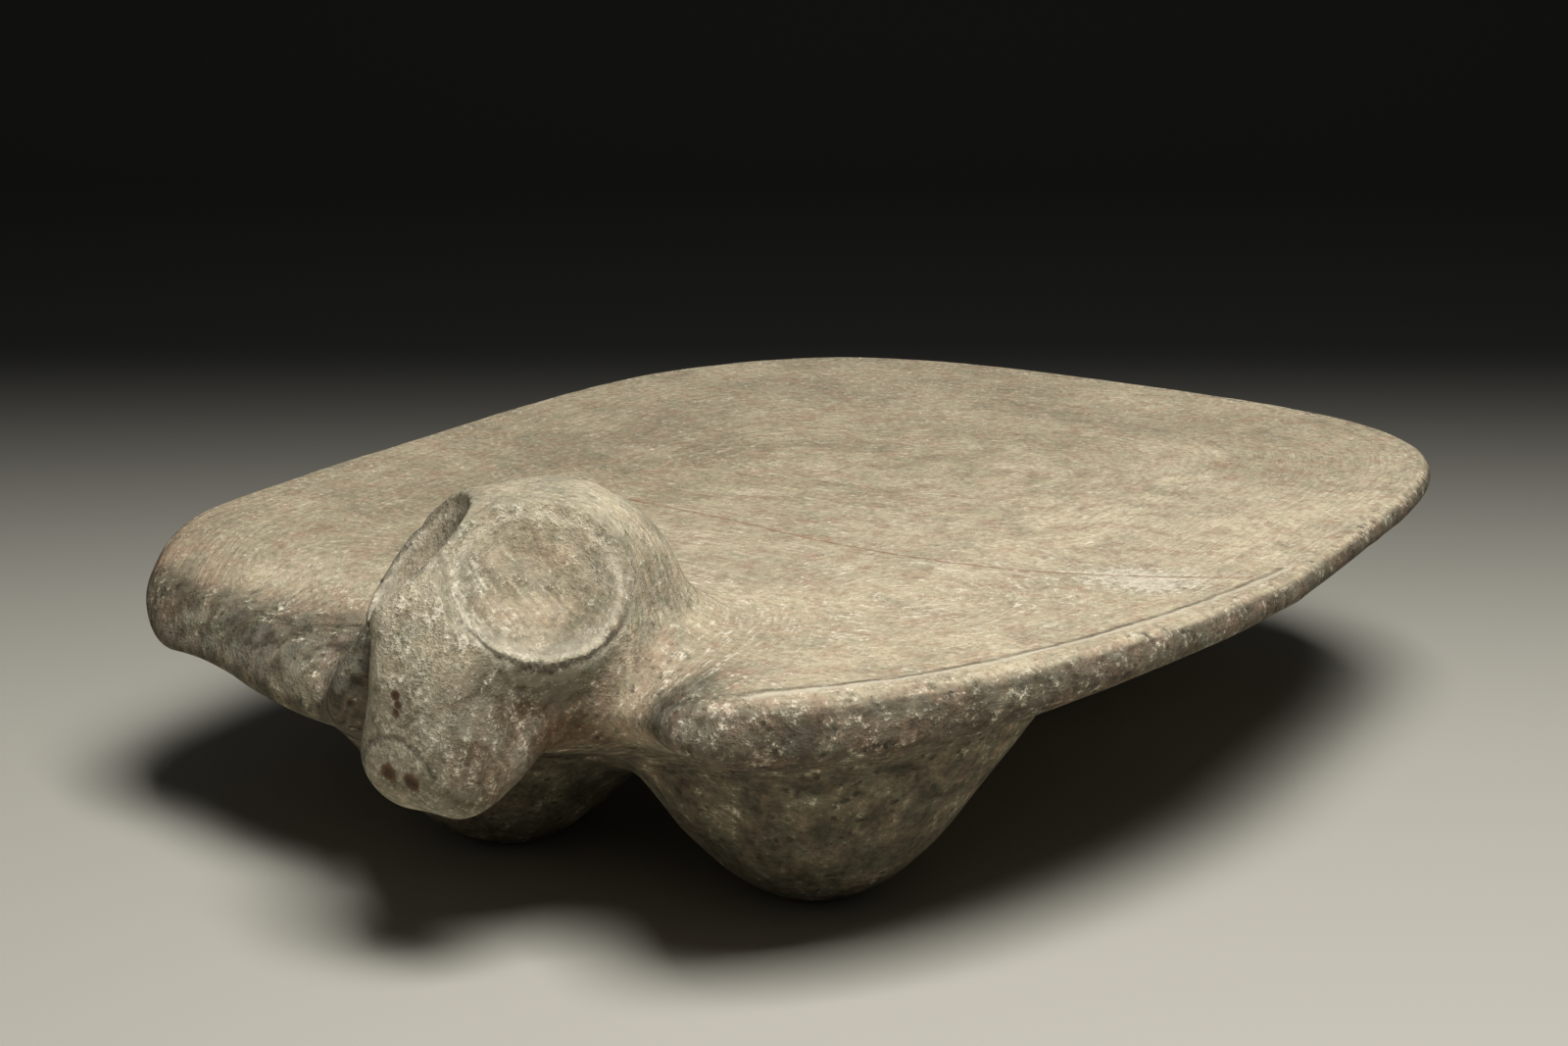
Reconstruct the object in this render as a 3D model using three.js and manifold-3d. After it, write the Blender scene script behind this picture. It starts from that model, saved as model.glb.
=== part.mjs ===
// A grinding stone carved from one block: a shield-shaped plate on three squat feet,
// with an animal's head standing between two blunt lobes at the front.
// Millimetres. +Z is up, the head faces -Y, and the stone rests on Z = 0.
//
// The stone is the set of points where solidAt() is below zero. Its parts are blended there,
// as a carver's strokes run from one into the next. The surface is then found along rays that
// fan out of a thin sheet inside the stone: straight up, over the rim, and straight down.
import * as THREE from 'three';
import { mergeVertices } from 'three/addons/utils/BufferGeometryUtils.js';
import Module from 'manifold-3d';

const wasm = await Module();
wasm.setup();

// The plate: its outline is an oval whose corners are filled out by the powers below.
const plateLength = 410;
const plateWidth = 326;
const plateOffset = 2.5;
const plateTop = 89;
const topHollow = 2.5;
const sidePower = 3.3;
const frontPower = 1.7;
const mossyFrontPower = 6;
const backPower = 3.2;
const nearBackPower = 6;
const nearTaper = 15;
const nearLeanShare = 0.06;

// The rim: how thick it is at the back, what the sides and the lobes add, and where that fades.
const rimThickness = 8;
const sideThickness = 5;
const sideFade = 190;
const lobeThickness = 11;
const farThickness = 13;
const lobeReach = 24;
const lobeFade = 60;
const edgeDrop = 13;
const edgeDropShare = 0.48;
const topRound = 5.5;
const lobeTopRound = 7;
const underRound = 6;
const lobeUnderRound = 18;
const underPower = 2.2;

// The broad slope on the front of the far lobe, the one with X below zero.
const farSlopeShare = 0.9;
const farSlopeBack = 64;
const farSlopeRound = 22;

// The plate's thickness along its middle, and how it thins behind the front feet.
const frontThickness = 34;
const backThickness = 24;
const thinStart = 48;
const thinEnd = 130;
const bellyPower = 1.5;

// The bay in the front edge, where the head stands between the lobes.
const bayHalfWidth = 57;
const bayDepth = 27;
const bayFlare = 3;
const bayLean = 14;
const bayCorner = 24;
const bayEdge = 28;
const bayFlareStart = 50;

// The feet: round-tipped cones that open out into the plate, cut flat where they stand.
const footTipRadius = 31;
const footAcross = 51;
const footBack = 105;
const footStagger = 5;
const rearFootTipRadius = 33;
const rearFootBack = 304;
const footCut = 1.6;
const footTop = 60;
const footTopRound = 14;
const footPairBlend = 20;
const footBlend = 28;

// The head: a domed crown, a raised ring under each eye dish, and a post-shaped snout.
const headTop = 128;
const crownHalfWidth = 38;
const crownHalfDepth = 44;
const crownBack = 48;
const crownMiddle = 93;
const snoutHalfWidth = 24.5;
const snoutWaist = 5.5;
const snoutWaistHeight = 87;
const snoutWaistSpread = 19;
const noseReach = 11;
const snoutBack = 30;
const chinHeight = 46;
const chinRiseShare = 0.4;
const snoutTop = 118;
const snoutRound = 18;
const browLean = 13;
const browStart = 84;
const browSpan = 35;
const headBlend = 14;
const crownBlend = 12;
const snoutBlend = 9;
const browBlend = 5;

// The eye dishes: round bowls that look up, out and forwards. The two differ a little.
const dishAcross = 21.5;
const dishBack = 23;
const dishHeight = 108;
const dishRadius = 22;
const dishDepth = 6.5;
const dishRim = 3;
const dishEdge = 2;
const mossyEyeShrink = 2.5;
const ringHalfDepth = 11.5;
const ringRound = 4.5;
const eyeOutShare = 0.53;
const eyeForwardShare = 0.48;
const eyeUpShare = 0.7;

// The grid of rays.
const columns = 126;
const rows = 50;
const flatRays = 60;
const rimRays = 160;
const bendReach = 14;
const headCrowding = 2.2;
const headCrowdingRows = 3;
const searchSteps = 60;
const halvings = 22;
const mergeGap = 0.0003;

const halfWidth = plateWidth / 2;
const halfLength = plateLength / 2;
const searchReach = plateTop * 2;

const clamp = (value, low, high) => Math.min(Math.max(value, low), high);

const fade = (value, start, end) => {
  const share = clamp((value - start) / (end - start), 0, 1);
  return share * share * (3 - 2 * share);
};

// Smooth union and smooth cut of two distances, rounded over the given reach.
const join = (a, b, reach) => {
  const share = clamp((1 + (b - a) / reach) / 2, 0, 1);
  return b + (a - b) * share - reach * share * (1 - share);
};
const meet = (a, b, reach) => -join(-a, -b, reach);

const ball = (x, y, z, radiusX, radiusY, radiusZ) => {
  const far = Math.hypot(x / radiusX, y / radiusY, z / radiusZ);
  const slope = Math.hypot(x / radiusX ** 2, y / radiusY ** 2, z / radiusZ ** 2);
  return slope > 0 ? far * (far - 1) / slope : -radiusZ;
};

const roundedBox = (x, y, z, halfX, halfY, halfZ, round) => {
  const outX = Math.abs(x) - halfX + round;
  const outY = Math.abs(y) - halfY + round;
  const outZ = Math.abs(z) - halfZ + round;
  const outside = Math.hypot(Math.max(outX, 0), Math.max(outY, 0), Math.max(outZ, 0));
  return outside + Math.min(Math.max(outX, outY, outZ), 0) - round;
};

// How strongly the front lobes thicken the rim at a place along the plate.
const lobeShareAt = (y) => Math.exp(-((Math.max(y - lobeReach, 0) / lobeFade) ** 1.5));

const rimThicknessAt = (x, y) => {
  const lobe = lobeThickness + farThickness * fade(-x, bayHalfWidth / 2, bayHalfWidth);
  return rimThickness + sideThickness * Math.exp(-((y / sideFade) ** 2)) + lobe * lobeShareAt(y);
};

// Distance outside the plate's outline, and how far the oval is filled at the place.
function outlineAt(x, y, z) {
  // The near side draws in towards the back, and its back corner is the squarer one.
  const near = fade(x, -bayHalfWidth, bayHalfWidth);
  const behind = y - halfLength;
  const reach = halfWidth - nearTaper * near * Math.max(behind, 0) / halfLength;
  const along = behind + nearLeanShare * Math.max(x, 0) * fade(behind, 0, halfLength / 2);
  const acrossShare = Math.abs(x + plateOffset) / reach;
  const alongShare = Math.abs(along) / halfLength;
  const front = mossyFrontPower + (frontPower - mossyFrontPower) * near;
  const endPower = along < 0 ? front : backPower + (nearBackPower - backPower) * near;
  const fill = acrossShare ** sidePower + alongShare ** endPower;
  const slope = Math.hypot(
    sidePower * acrossShare ** (sidePower - 1) / reach,
    endPower * alongShare ** (endPower - 1) / halfLength,
  );
  const outward = (fill - 1) / Math.max(slope, 1 / searchReach);

  // The bay's walls lean back as they rise, so the top runs down into it.
  const rise = clamp((z - bayFlareStart) / (plateTop - bayFlareStart), 0, 1.2);
  const side = Math.abs(x) - bayHalfWidth - bayFlare * rise;
  const back = y - bayDepth - bayLean * rise * rise;
  return [meet(outward, -meet(side, back, bayCorner), bayEdge), fill];
}

// The plate is rounded above its widest level by a circle's arc, and below it by a power curve.
function roundedPlateAt(x, y, z) {
  const [outward, fill] = outlineAt(x, y, z);
  const lobe = lobeShareAt(y);
  const rim = rimThicknessAt(x, y);
  const middle = frontThickness - (frontThickness - backThickness) * fade(y, thinStart, thinEnd);
  const inner = clamp(1 - fill, 0, 1);
  const thickness = rim + Math.max(middle - rim, 0) * inner ** bellyPower;
  const top = plateTop - topHollow * inner;
  const drop = Math.min(edgeDropShare * rim, edgeDrop);
  const widest = plateTop - drop;
  if (z > widest) {
    const round = topRound + lobeTopRound * lobe;
    const inset = Math.max(1 + outward / round, 0);
    return (Math.hypot(inset, (z - widest) / (top - widest)) - 1) * round;
  }
  const round = underRound + lobeUnderRound * lobe;
  const inset = Math.max(1 + outward / round, 0);
  const depth = (widest - z) / (thickness - drop);
  return ((inset ** underPower + depth ** underPower) ** (1 / underPower) - 1) * round;
}

function plateAt(x, y, z) {
  const tilt = Math.hypot(1, farSlopeShare);
  const beside = farSlopeBack * fade(x, -farSlopeBack, -farSlopeBack / 2);
  const slope = (z - plateTop + farSlopeShare * (farSlopeBack - y)) / tilt - beside;
  return meet(roundedPlateAt(x, y, z), slope, farSlopeRound);
}

function footAt(x, y, z, tipRadius) {
  const aside = Math.hypot(x, y);
  const over = (aside * aside / (2 * tipRadius) - z - footCut) / Math.hypot(1, aside / tipRadius);
  return meet(over, z - footTop, footTopRound);
}

function feetAt(x, y, z) {
  const right = footAt(x - footAcross, y - footBack - footStagger, z, footTipRadius);
  const left = footAt(x + footAcross, y - footBack + footStagger, z, footTipRadius);
  const rear = footAt(x, y - rearFootBack, z, rearFootTipRadius);
  return Math.min(join(right, left, footPairBlend), rear);
}

// Height above the dish's rim plane, and distance from its axis.
const eyeLength = Math.hypot(eyeOutShare, eyeForwardShare, eyeUpShare);
function fromDish(x, y, z) {
  const outX = Math.abs(x) - dishAcross;
  const outY = y - dishBack;
  const outZ = z - dishHeight;
  const above = (outX * eyeOutShare - outY * eyeForwardShare + outZ * eyeUpShare) / eyeLength;
  const aside = Math.sqrt(Math.max(outX * outX + outY * outY + outZ * outZ - above * above, 0));
  return [above, aside];
}

const dishRadiusAt = (x) => dishRadius - (x < 0 ? mossyEyeShrink : 0);

// The raised ring that carries a dish: a short round-edged disc.
function ringAt(x, y, z) {
  const [above, aside] = fromDish(x, y, z);
  const outAbove = Math.abs(above + ringHalfDepth) - ringHalfDepth + ringRound;
  const outAside = aside - dishRadiusAt(x) - dishRim + ringRound;
  const outside = Math.hypot(Math.max(outAbove, 0), Math.max(outAside, 0));
  return outside + Math.min(Math.max(outAbove, outAside), 0) - ringRound;
}

// The hollow of a dish: a ball whose cut at the rim plane is the dish's circle.
function hollowAt(x, y, z) {
  const [above, aside] = fromDish(x, y, z);
  const radius = dishRadiusAt(x);
  const bowl = (radius * radius + dishDepth * dishDepth) / (2 * dishDepth);
  return Math.hypot(aside, above - bowl + dishDepth) - bowl;
}

function headAt(x, y, z) {
  const crown = ball(x, y - crownBack, z - crownMiddle,
    crownHalfWidth, crownHalfDepth, headTop - crownMiddle);
  const waist = snoutWaist * Math.exp(-(((z - snoutWaistHeight) / snoutWaistSpread) ** 2));
  const lean = browLean * clamp((z - browStart) / browSpan, 0, 1) ** 1.5;
  const chin = chinRiseShare * Math.max(y, 0) * (1 - fade(z, chinHeight, browStart));
  const snout = roundedBox(
    x * snoutHalfWidth / (snoutHalfWidth - waist),
    y - lean - (snoutBack - noseReach) / 2,
    z - chin - (snoutTop + chinHeight) / 2,
    snoutHalfWidth, (snoutBack + noseReach) / 2, (snoutTop - chinHeight) / 2, snoutRound,
  );
  const upper = join(crown, ringAt(x, y, z), crownBlend);
  return meet(join(upper, snout, snoutBlend), z - headTop, browBlend);
}

function solidAt(x, y, z) {
  let solid = join(plateAt(x, y, z), feetAt(x, y, z), footBlend);
  solid = join(solid, headAt(x, y, z), headBlend);
  return meet(solid, -hollowAt(x, y, z), dishEdge);
}

// The stone's plan from the nose round to the back, one side. Each row is a place on the outline
// and the place on the inner sheet that its ray leaves from. Head rows are shares of the bay's
// half width and of its depth behind the nose, and plate rows are shares of what lies beyond.
const headRowShares = [
  [0, 0, 0, 0.74], [0.20, 0.03, 0.06, 0.75], [0.37, 0.24, 0.12, 0.82], [0.52, 0.62, 0.20, 0.98],
  [0.63, 0.79, 0.33, 1.19], [0.74, 0.87, 0.56, 1.40], [0.85, 0.82, 0.79, 1.50],
];
const plateRowShares = [
  [-0.01, 0.034, 0.00, 0.117], [0.06, 0.012, 0.085, 0.121], [0.16, 0.003, 0.17, 0.126],
  [0.31, 0.008, 0.27, 0.134], [0.55, 0.036, 0.40, 0.153], [0.76, 0.098, 0.51, 0.191],
  [0.92, 0.206, 0.63, 0.274], [1.00, 0.422, 0.70, 0.431], [0.98, 0.598, 0.68, 0.588],
  [0.89, 0.765, 0.60, 0.740], [0.65, 0.912, 0.38, 0.853],
];
const backRowShares = [
  [0.53, 0.975, 0.40, 0.907], [0.25, 0.995, 0.20, 0.927], [0, 1, 0, 0.930],
];
const spineFrontShare = 0.046;
const spineBackShare = 0.772;

const bayRun = bayDepth + noseReach;
const lobeRun = halfWidth - bayHalfWidth;
const planRows = [
  ...headRowShares.map(([x, y, innerX, innerY]) => [
    x * bayHalfWidth, y * bayRun - noseReach, innerX * bayHalfWidth, innerY * bayRun - noseReach]),
  ...plateRowShares.map(([x, y, innerX, innerY]) => [
    bayHalfWidth + x * lobeRun, y * plateLength, bayHalfWidth + innerX * lobeRun, innerY * plateLength]),
  ...backRowShares.map(([x, y, innerX, innerY]) => [
    x * halfWidth, y * plateLength, innerX * halfWidth, innerY * plateLength]),
];

// A smooth curve through the rows, mirrored at both ends so that it crosses the middle squarely.
function planAt(place) {
  const last = planRows.length - 1;
  const row = (index) => {
    if (index >= 0 && index <= last) return planRows[index];
    const [x, y, innerX, innerY] = planRows[index < 0 ? -index : 2 * last - index];
    return [-x, y, -innerX, innerY];
  };
  const start = Math.min(Math.floor(place), last - 1);
  const share = place - start;
  const [before, from, to, after] = [row(start - 1), row(start), row(start + 1), row(start + 2)];
  return from.map((value, i) => {
    const bend = 2 * before[i] - 5 * value + 4 * to[i] - after[i];
    const twist = -before[i] + 3 * value - 3 * to[i] + after[i];
    return value + (share * (to[i] - before[i]) + share ** 2 * bend + share ** 3 * twist) / 2;
  });
}

// Places along the plan curve for one side's columns: even steps, closer together round the head.
function planPlaces() {
  const fine = 40;
  const last = planRows.length - 1;
  const places = [0];
  const travelled = [0];
  let before = planAt(0);
  for (let step = 1; step <= last * fine; step += 1) {
    const place = step / fine;
    const here = planAt(place);
    const crowding = 1 + headCrowding * Math.exp(-(((place - headCrowdingRows) / headCrowdingRows) ** 2));
    const length = Math.hypot(here[0] - before[0], here[1] - before[1]) * crowding;
    places.push(place);
    travelled.push(travelled[step - 1] + length);
    before = here;
  }
  const total = travelled[travelled.length - 1];
  const half = columns / 2;
  return Array.from({ length: half + 1 }, (_, k) => {
    const goal = total * k / half;
    const index = Math.max(travelled.findIndex((length) => length >= goal), 1);
    const share = (goal - travelled[index - 1]) / (travelled[index] - travelled[index - 1]);
    return places[index - 1] + share * (places[index] - places[index - 1]);
  });
}

// One side's columns, then the other side's by mirroring.
function planColumns() {
  const side = planPlaces().map(planAt);
  const half = columns / 2;
  side[0][0] = side[0][2] = side[half][0] = side[half][2] = 0;
  const mirrored = side.slice(1, half).reverse().map(([x, y, innerX, innerY]) => [-x, y, -innerX, innerY]);
  return [...side, ...mirrored];
}

// Each column meets its mirror image on the spine, the sheet's middle line.
function spineY(innerY, front, back) {
  const share = (innerY - front) / (back - front);
  return plateLength * (spineFrontShare + (spineBackShare - spineFrontShare) * share);
}

function firstCrossing(start, direction) {
  const at = (t) => solidAt(
    start.x + direction.x * t, start.y + direction.y * t, start.z + direction.z * t);
  let near = 0;
  let far = searchReach;
  for (let step = 1; step <= searchSteps; step += 1) {
    const t = searchReach * step / searchSteps;
    if (at(t) > 0) {
      far = t;
      break;
    }
    near = t;
  }
  for (let step = 0; step < halvings; step += 1) {
    const middle = (near + far) / 2;
    if (at(middle) < 0) near = middle;
    else far = middle;
  }
  return start.clone().addScaledVector(direction, far);
}

// One column of the skin: from the top's middle line out over the rim to the underside's.
function columnAt([x, y, innerX, innerY], middleY) {
  const up = new THREE.Vector3(0, 0, 1);
  const sheetAt = (share) => {
    const sheetY = middleY + (innerY - middleY) * share;
    const sheetX = innerX * share;
    return new THREE.Vector3(sheetX, sheetY, plateTop - rimThicknessAt(sheetX, sheetY) / 2);
  };
  const outward = new THREE.Vector3(x - innerX, y - innerY, 0).normalize();
  const points = [];
  for (let ray = 0; ray < flatRays; ray += 1) points.push(firstCrossing(sheetAt(ray / flatRays), up));
  for (let ray = 0; ray <= rimRays; ray += 1) {
    const angle = Math.PI * (1 / 2 - ray / rimRays);
    const direction = outward.clone().multiplyScalar(Math.cos(angle)).addScaledVector(up, Math.sin(angle));
    points.push(firstCrossing(sheetAt(1), direction));
  }
  up.negate();
  for (let ray = flatRays - 1; ray >= 0; ray -= 1) points.push(firstCrossing(sheetAt(ray / flatRays), up));
  return respaced(points);
}

// Spaces a column's points again: evenly along it, and closer together where it bends.
function respaced(points) {
  const steps = points.slice(1).map((point, k) => point.clone().sub(points[k]));
  const turns = steps.slice(1).map((step, k) => step.angleTo(steps[k]));
  const travelled = [0];
  steps.forEach((step, k) => {
    const turn = ((turns[k - 1] ?? 0) + (turns[k] ?? 0)) / 2;
    travelled.push(travelled[k] + step.length() + turn * bendReach);
  });
  return Array.from({ length: rows + 1 }, (_, row) => {
    const goal = travelled[steps.length] * (row / rows);
    const next = Math.max(travelled.findIndex((length) => length >= goal), 1);
    const share = (goal - travelled[next - 1]) / (travelled[next] - travelled[next - 1]);
    return points[next - 1].clone().lerp(points[next], share);
  });
}

function stoneGeometry() {
  const plan = planColumns();
  const front = plan[0][3];
  const back = plan[columns / 2][3];
  const skin = plan.map((column) => columnAt(column, spineY(column[3], front, back)));

  // Both sides share their points on the middle line, where each column begins and ends.
  const fold = (u) => Math.min(u, (columns - u) % columns);
  const positions = [];
  for (let v = 0; v <= rows; v += 1) {
    for (let u = 0; u < columns; u += 1) {
      const onMiddle = v === 0 || v === rows;
      positions.push(...skin[onMiddle ? fold(u) : u][v]);
    }
  }
  const faces = [];
  const corner = (v, u) => v * columns + (u % columns);
  for (let v = 0; v < rows; v += 1) {
    for (let u = 0; u < columns; u += 1) {
      const [a, b, c, d] = [corner(v, u), corner(v, u + 1), corner(v + 1, u + 1), corner(v + 1, u)];
      // The shorter diagonal keeps the facets close to the curved surface.
      if (squaredGap(positions, a, c) < squaredGap(positions, b, d)) faces.push(a, d, c, a, c, b);
      else faces.push(a, d, b, b, d, c);
    }
  }
  const geometry = new THREE.BufferGeometry();
  geometry.setAttribute('position', new THREE.Float32BufferAttribute(positions, 3));
  geometry.setIndex(faces);
  return closedGeometry(geometry);
}

function squaredGap(positions, a, b) {
  return [0, 1, 2].reduce((sum, axis) => sum + (positions[3 * a + axis] - positions[3 * b + axis]) ** 2, 0);
}

// Merges shared points, and drops the faces that collapse or lie back to back on the middle line.
function closedGeometry(geometry) {
  const merged = mergeVertices(geometry, mergeGap);
  const index = Array.from(merged.index.array);
  const corners = Array.from({ length: index.length / 3 }, (_, k) => index.slice(3 * k, 3 * k + 3));
  const nameOf = (face) => [...face].sort().join();
  const seen = new Map();
  corners.forEach((face) => seen.set(nameOf(face), (seen.get(nameOf(face)) ?? 0) + 1));
  merged.setIndex(corners.filter((face) => new Set(face).size === 3 && seen.get(nameOf(face)) === 1).flat());
  return merged;
}

function solidOf(geometry) {
  const bare = geometry.clone();
  bare.deleteAttribute('normal');
  bare.deleteAttribute('uv');
  const merged = mergeVertices(bare, mergeGap);
  const vertProperties = new Float32Array(merged.attributes.position.array);
  const triVerts = new Uint32Array(merged.index.array);
  return new wasm.Manifold(new wasm.Mesh({ numProp: 3, vertProperties, triVerts }));
}

// The stone cut flat by the floor it stands on, with the middle of its box over the origin.
function standingGeometry() {
  const ground = new THREE.BoxGeometry(plateLength * 2, plateLength * 2, plateTop);
  ground.translate(0, halfLength, -plateTop / 2);
  const mesh = solidOf(stoneGeometry()).subtract(solidOf(ground)).getMesh();
  const geometry = new THREE.BufferGeometry();
  geometry.setAttribute('position', new THREE.Float32BufferAttribute(mesh.vertProperties, 3));
  geometry.setIndex(Array.from(mesh.triVerts));
  geometry.computeBoundingBox();
  const { min, max } = geometry.boundingBox;
  geometry.translate(-(min.x + max.x) / 2, -(min.y + max.y) / 2, -min.z);
  geometry.computeVertexNormals();
  return geometry;
}

// Weathered volcanic stone, worn smooth on top.
const stoneMaterial = new THREE.MeshStandardMaterial({ color: 0x8a7d69, roughness: 0.85, metalness: 0 });

const stone = new THREE.Mesh(standingGeometry(), stoneMaterial);
stone.name = 'metate_stone';

const metate = new THREE.Group();
metate.name = 'metate';
metate.add(stone);

export default metate;
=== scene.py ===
"""A grinding stone carved from one block of volcanic stone: a shield-shaped plate on three squat
feet, with an animal's head between two blunt lobes. Laid out as a Blender add-on, run as a script."""
import math
from functools import partial

import bpy
import numpy as np
from bpy.props import FloatProperty, FloatVectorProperty, PointerProperty
from mathutils import Matrix, Vector


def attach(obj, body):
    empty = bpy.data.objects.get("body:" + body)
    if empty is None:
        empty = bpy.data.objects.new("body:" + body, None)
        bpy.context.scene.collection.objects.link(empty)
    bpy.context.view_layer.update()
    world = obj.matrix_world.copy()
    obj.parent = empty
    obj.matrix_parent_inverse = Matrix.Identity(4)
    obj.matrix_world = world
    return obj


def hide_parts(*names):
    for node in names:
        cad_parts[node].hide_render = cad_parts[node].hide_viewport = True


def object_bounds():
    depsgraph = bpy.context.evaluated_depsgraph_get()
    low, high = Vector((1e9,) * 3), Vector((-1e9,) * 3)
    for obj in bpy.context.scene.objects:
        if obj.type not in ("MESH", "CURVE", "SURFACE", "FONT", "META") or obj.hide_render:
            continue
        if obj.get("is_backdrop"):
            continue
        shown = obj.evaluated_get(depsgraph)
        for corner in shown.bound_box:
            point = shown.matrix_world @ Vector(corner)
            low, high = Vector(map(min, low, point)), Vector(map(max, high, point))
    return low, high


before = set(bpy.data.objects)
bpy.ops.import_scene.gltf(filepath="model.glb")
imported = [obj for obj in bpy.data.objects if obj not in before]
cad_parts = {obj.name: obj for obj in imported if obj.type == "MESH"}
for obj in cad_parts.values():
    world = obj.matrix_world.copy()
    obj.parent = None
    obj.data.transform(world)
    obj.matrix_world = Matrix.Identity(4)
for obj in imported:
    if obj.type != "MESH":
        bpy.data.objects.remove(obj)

bl_info = {
    "name": "Carved grinding stone",
    "version": (1, 0, 0),
    "blender": (4, 5, 0),
    "location": "3D View > Sidebar > Grinding stone",
    "description": "Carves and dresses a three-footed grinding stone with an animal's head",
    "category": "Add Mesh",
}

CAD_LOW, CAD_HIGH = (np.array(corner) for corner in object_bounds())
STONE = "metate_stone"
MM = 0.001

# The camera that was worked out from the photograph, the lamp and the floor: metres, degrees and
# millimetres of lens.
CAMERA_PLACE = (0.5010, -0.8105, 0.3367)
CAMERA_TURN, CAMERA_TILT = 32.378, 15.0
CAMERA_LENS, CAMERA_SENSOR = 72.0, 36.0
LAMP_DIRECTION, LAMP_DISTANCE = (0.42, -0.34, 1.0), 1.3
# DARK_FROM: metres behind the middle at which the floor's painted shade is full.
FLOOR_FRONT, FLOOR_HALF_WIDTH, DARK_FROM = -3.0, 4.0, 0.68
WALL_BACK, WALL_BEND, WALL_BEND_STEPS, WALL_TOP = 1.2, 0.6, 24, 3.0

MATH, VECTOR = "ShaderNodeMath", "ShaderNodeVectorMath"
MIX, RANGE = "ShaderNodeMix", "ShaderNodeMapRange"
NOISE, VORONOI = "ShaderNodeTexNoise", "ShaderNodeTexVoronoi"
TIMES, LARGER = {"operation": "MULTIPLY"}, {"operation": "MAXIMUM"}

# Sizes of the carving in millimetres. X = 0 runs through the head and Y = 0 is the plate's front.
PLATE_OFFSET, TOP_HOLLOW = 2.5, 2.5
SIDE_POWER, FRONT_POWER, MOSSY_FRONT_POWER, BACK_POWER = 3.3, 1.7, 6.0, 3.2
NEAR_TAPER, NEAR_LEAN, NEAR_BACK_POWER = 15.0, 0.06, 6.0
FAR_SLOPE, FAR_SLOPE_BACK, FAR_SLOPE_ROUND, FAR_THICKNESS = 0.9, 64.0, 22.0, 13.0
RIM_THICKNESS, SIDE_THICKNESS, SIDE_FADE = 8.0, 5.0, 190.0
LOBE_THICKNESS, LOBE_REACH, LOBE_FADE, LOBE_POWER = 11.0, 24.0, 60.0, 1.5
EDGE_DROP, EDGE_DROP_SHARE = 13.0, 0.48
TOP_ROUND, LOBE_TOP_ROUND = 5.5, 7.0
UNDER_ROUND, LOBE_UNDER_ROUND, UNDER_POWER = 6.0, 18.0, 2.2
FRONT_THICKNESS, BACK_THICKNESS, THIN_START, THIN_END, BELLY_POWER = 34.0, 24.0, 48.0, 130.0, 1.5
BAY_HALF_WIDTH, BAY_DEPTH, BAY_FLARE, BAY_LEAN = 57.0, 27.0, 3.0, 14.0
BAY_CORNER, BAY_EDGE, BAY_FLARE_START, BAY_FLARE_MOST = 24.0, 28.0, 50.0, 1.2
FOOT_TIP_RADIUS, FOOT_ACROSS, FOOT_BACK, FOOT_STAGGER = 31.0, 51.0, 105.0, 5.0
REAR_FOOT_TIP_RADIUS, REAR_FOOT_BACK, FOOT_CUT = 33.0, 304.0, 1.6
FOOT_TOP, FOOT_TOP_ROUND, FOOT_PAIR_BLEND, FOOT_BLEND = 60.0, 14.0, 20.0, 28.0
CROWN_HALF_WIDTH, CROWN_HALF_DEPTH, CROWN_BACK, CROWN_MIDDLE = 38.0, 44.0, 48.0, 93.0
SNOUT_HALF_WIDTH, SNOUT_WAIST, SNOUT_WAIST_HEIGHT, SNOUT_WAIST_SPREAD = 24.5, 5.5, 87.0, 19.0
NOSE_REACH, SNOUT_BACK, CHIN_HEIGHT, SNOUT_TOP, SNOUT_ROUND = 11.0, 30.0, 46.0, 118.0, 18.0
BROW_LEAN, BROW_START, BROW_SPAN, BROW_POWER, BROW_BLEND, CHIN_RISE = 13.0, 84.0, 35.0, 1.5, 5.0, 0.4
HEAD_BLEND, CROWN_BLEND, SNOUT_BLEND = 22.0, 12.0, 9.0
DISH_ACROSS, DISH_BACK, DISH_HEIGHT = 20.0, 22.5, 108.0
DISH_RIM, DISH_EDGE, MOSSY_EYE_SHRINK, RING_HALF_DEPTH, RING_ROUND = 2.0, 1.4, 2.5, 11.5, 3.5
EYE_DIRECTION = np.array([0.53, -0.48, 0.70]) / math.hypot(0.53, 0.48, 0.70)

# The skin's grid, the rays that find it, and the steps in which its outline is walked.
COLUMNS, ROWS = 480, 198
FLAT_RAYS, RIM_RAYS, BEND_REACH = 70, 180, 14.0
HEAD_CROWDING, HEAD_CROWDING_ROWS = 2.2, 3.0
SEARCH_REACH, SEARCH_STEPS, HALVINGS, NORMAL_STEP = 178.0, 60, 16, 0.5
CURVE_STEPS, COLUMN_SPAN = 40, 0.999

HEAD_ROWS = ((0, 0, 0, .74), (.20, .03, .06, .75), (.37, .24, .12, .82), (.52, .62, .20, .98),
             (.63, .79, .33, 1.19), (.74, .87, .56, 1.40), (.85, .82, .79, 1.50))
PLATE_ROWS = ((-.01, .034, 0, .117), (.06, .012, .085, .121), (.16, .003, .17, .126),
              (.31, .008, .27, .134), (.55, .036, .40, .153), (.76, .098, .51, .191),
              (.92, .206, .63, .274), (1, .422, .70, .431), (.98, .598, .68, .588),
              (.89, .765, .60, .740), (.65, .912, .38, .853))
BACK_ROWS = ((.53, .975, .40, .907), (.25, .995, .20, .927), (0, 1, 0, .930))
SPINE_FRONT, SPINE_BACK = 0.046, 0.772

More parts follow.
